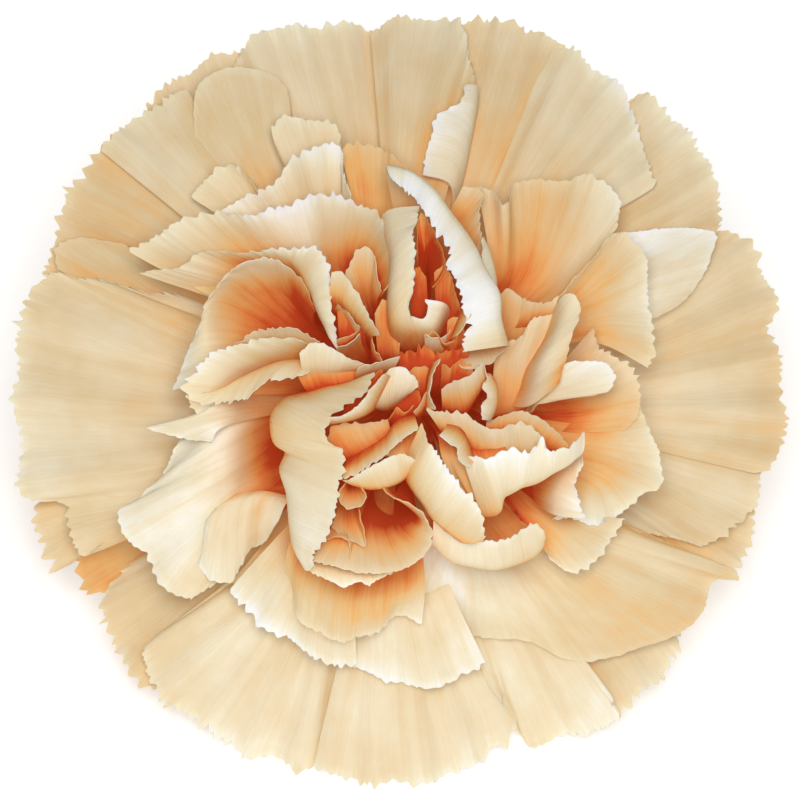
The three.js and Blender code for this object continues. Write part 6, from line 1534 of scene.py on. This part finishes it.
def cut_at_table(piece, cut_face):
    """Cuts a piece off flat just above the table and closes it with a face of its own finish."""
    made = bmesh.new()
    made.from_mesh(piece.data)
    everything = made.verts[:] + made.edges[:] + made.faces[:]
    cut = bmesh.ops.bisect_plane(
        made, geom=everything, plane_co=(0, 0, CUT_HEIGHT), plane_no=(0, 0, 1), clear_inner=True
    )
    edges = [e for e in cut["geom_cut"] if isinstance(e, bmesh.types.BMEdge)]
    filled = bmesh.ops.contextual_create(made, geom=edges)
    piece.data.materials.append(cut_face)
    for face in filled["faces"]:
        face.material_index = 1
        face.smooth = False
    bmesh.ops.recalc_face_normals(made, faces=made.faces)
    made.to_mesh(piece.data)
    made.free()


class CARNATION_OT_stage(bpy.types.Operator):
    """Set out the pale floor, the soft light and the camera"""

    bl_idname = "carnation.stage"
    bl_label = "Table, light and camera"

    def execute(self, context):
        stage = context.scene.carnation_stage
        half = stage.floor / 2
        mesh = bpy.data.meshes.new("floor")
        mesh.from_pydata([(-half, -half, 0), (half, -half, 0), (half, half, 0), (-half, half, 0)], [], [(0, 1, 2, 3)])
        floor = bpy.data.objects.new("floor", mesh)
        context.collection.objects.link(floor)
        material, t, shader = new_material("floor", (0.92, 0.92, 0.92), 0.9)
        coords = t.node("ShaderNodeTexCoord")
        grain = t.node("ShaderNodeTexNoise", {"Scale": 30})
        t.link(coords.outputs["Object"], grain.inputs["Vector"])
        t.link(t.spread(grain.outputs["Fac"], 0, 1, 0.85, 0.95), shader.inputs["Roughness"])
        set_inputs(shader, {"Emission Color": (1, 1, 1, 1), "Emission Strength": FLOOR_GLOW})
        mesh.materials.append(material)
        world = bpy.data.worlds.new("studio")
        world.use_nodes = True
        set_inputs(world.node_tree.nodes["Background"], {"Color": (1, 1, 1, 1), "Strength": stage.sky})
        context.scene.world = world
        self.lamp(context, stage.lamp)
        data = bpy.data.cameras.new("camera")
        data.lens, data.sensor_width = LENS, 36
        data.clip_start, data.clip_end = 0.1, 20
        camera = bpy.data.objects.new("camera", data)
        context.collection.objects.link(camera)
        back = Vector((0, -math.sin(TILT), math.cos(TILT)))
        # the centre of the picture is the bloom's axis
        camera.location = Vector(place(CENTRE)) + back * (PICTURE_WIDTH / data.sensor_width * data.lens)
        camera.rotation_mode = "QUATERNION"
        camera.rotation_quaternion = (-back).to_track_quat("-Z", "Y")
        context.scene.camera = camera
        context.scene.view_settings.view_transform = "Standard"
        return {"FINISHED"}

    @staticmethod
    def lamp(context, power):
        data = bpy.data.lights.new("lamp over the bloom", "AREA")
        data.shape, data.size, data.energy = "DISK", LAMP_WIDTH, power
        lamp = bpy.data.objects.new(data.name, data)
        lamp.location = Vector(place(AIM)) + LAMP_AWAY
        lamp.rotation_mode = "QUATERNION"
        lamp.rotation_quaternion = (-LAMP_AWAY).to_track_quat("-Z", "Y")
        lamp.visible_camera = False
        context.collection.objects.link(lamp)


class CARNATION_PT_panel(bpy.types.Panel):
    bl_label = "Cut carnation"
    bl_idname = "CARNATION_PT_panel"
    bl_space_type = "VIEW_3D"
    bl_region_type = "UI"
    bl_category = "Carnation"

    def draw(self, context):
        for settings in (context.scene.carnation_petals, context.scene.carnation_greens, context.scene.carnation_stage):
            box = self.layout.box()
            for key in settings.bl_rna.properties.keys():
                if key not in ("rna_type", "name"):
                    box.prop(settings, key)
        for operator in STEPS:
            self.layout.operator(operator.bl_idname)


SETTINGS = {"carnation_petals": CarnationPetals, "carnation_greens": CarnationGreens, "carnation_stage": CarnationStage}
STEPS = (CARNATION_OT_guards, CARNATION_OT_middle, CARNATION_OT_heart, CARNATION_OT_claws, CARNATION_OT_calyx,
         CARNATION_OT_bracts, CARNATION_OT_stem, CARNATION_OT_stage)


def register():
    for group in SETTINGS.values():
        bpy.utils.register_class(group)
    for key, group in SETTINGS.items():
        setattr(bpy.types.Scene, key, bpy.props.PointerProperty(type=group))
    for operator in STEPS:
        bpy.utils.register_class(operator)
    bpy.utils.register_class(CARNATION_PT_panel)


def unregister():
    bpy.utils.unregister_class(CARNATION_PT_panel)
    for operator in reversed(STEPS):
        bpy.utils.unregister_class(operator)
    for key in SETTINGS:
        delattr(bpy.types.Scene, key)
    for group in SETTINGS.values():
        bpy.utils.unregister_class(group)


def main():
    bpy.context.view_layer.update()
    register()
    bpy.ops.carnation.guards()
    bpy.ops.carnation.middle()
    bpy.ops.carnation.heart()
    bpy.ops.carnation.claws()
    bpy.ops.carnation.calyx()
    bpy.ops.carnation.bracts()
    bpy.ops.carnation.stem()
    bpy.ops.carnation.stage()


if __name__ == "__main__":
    main()
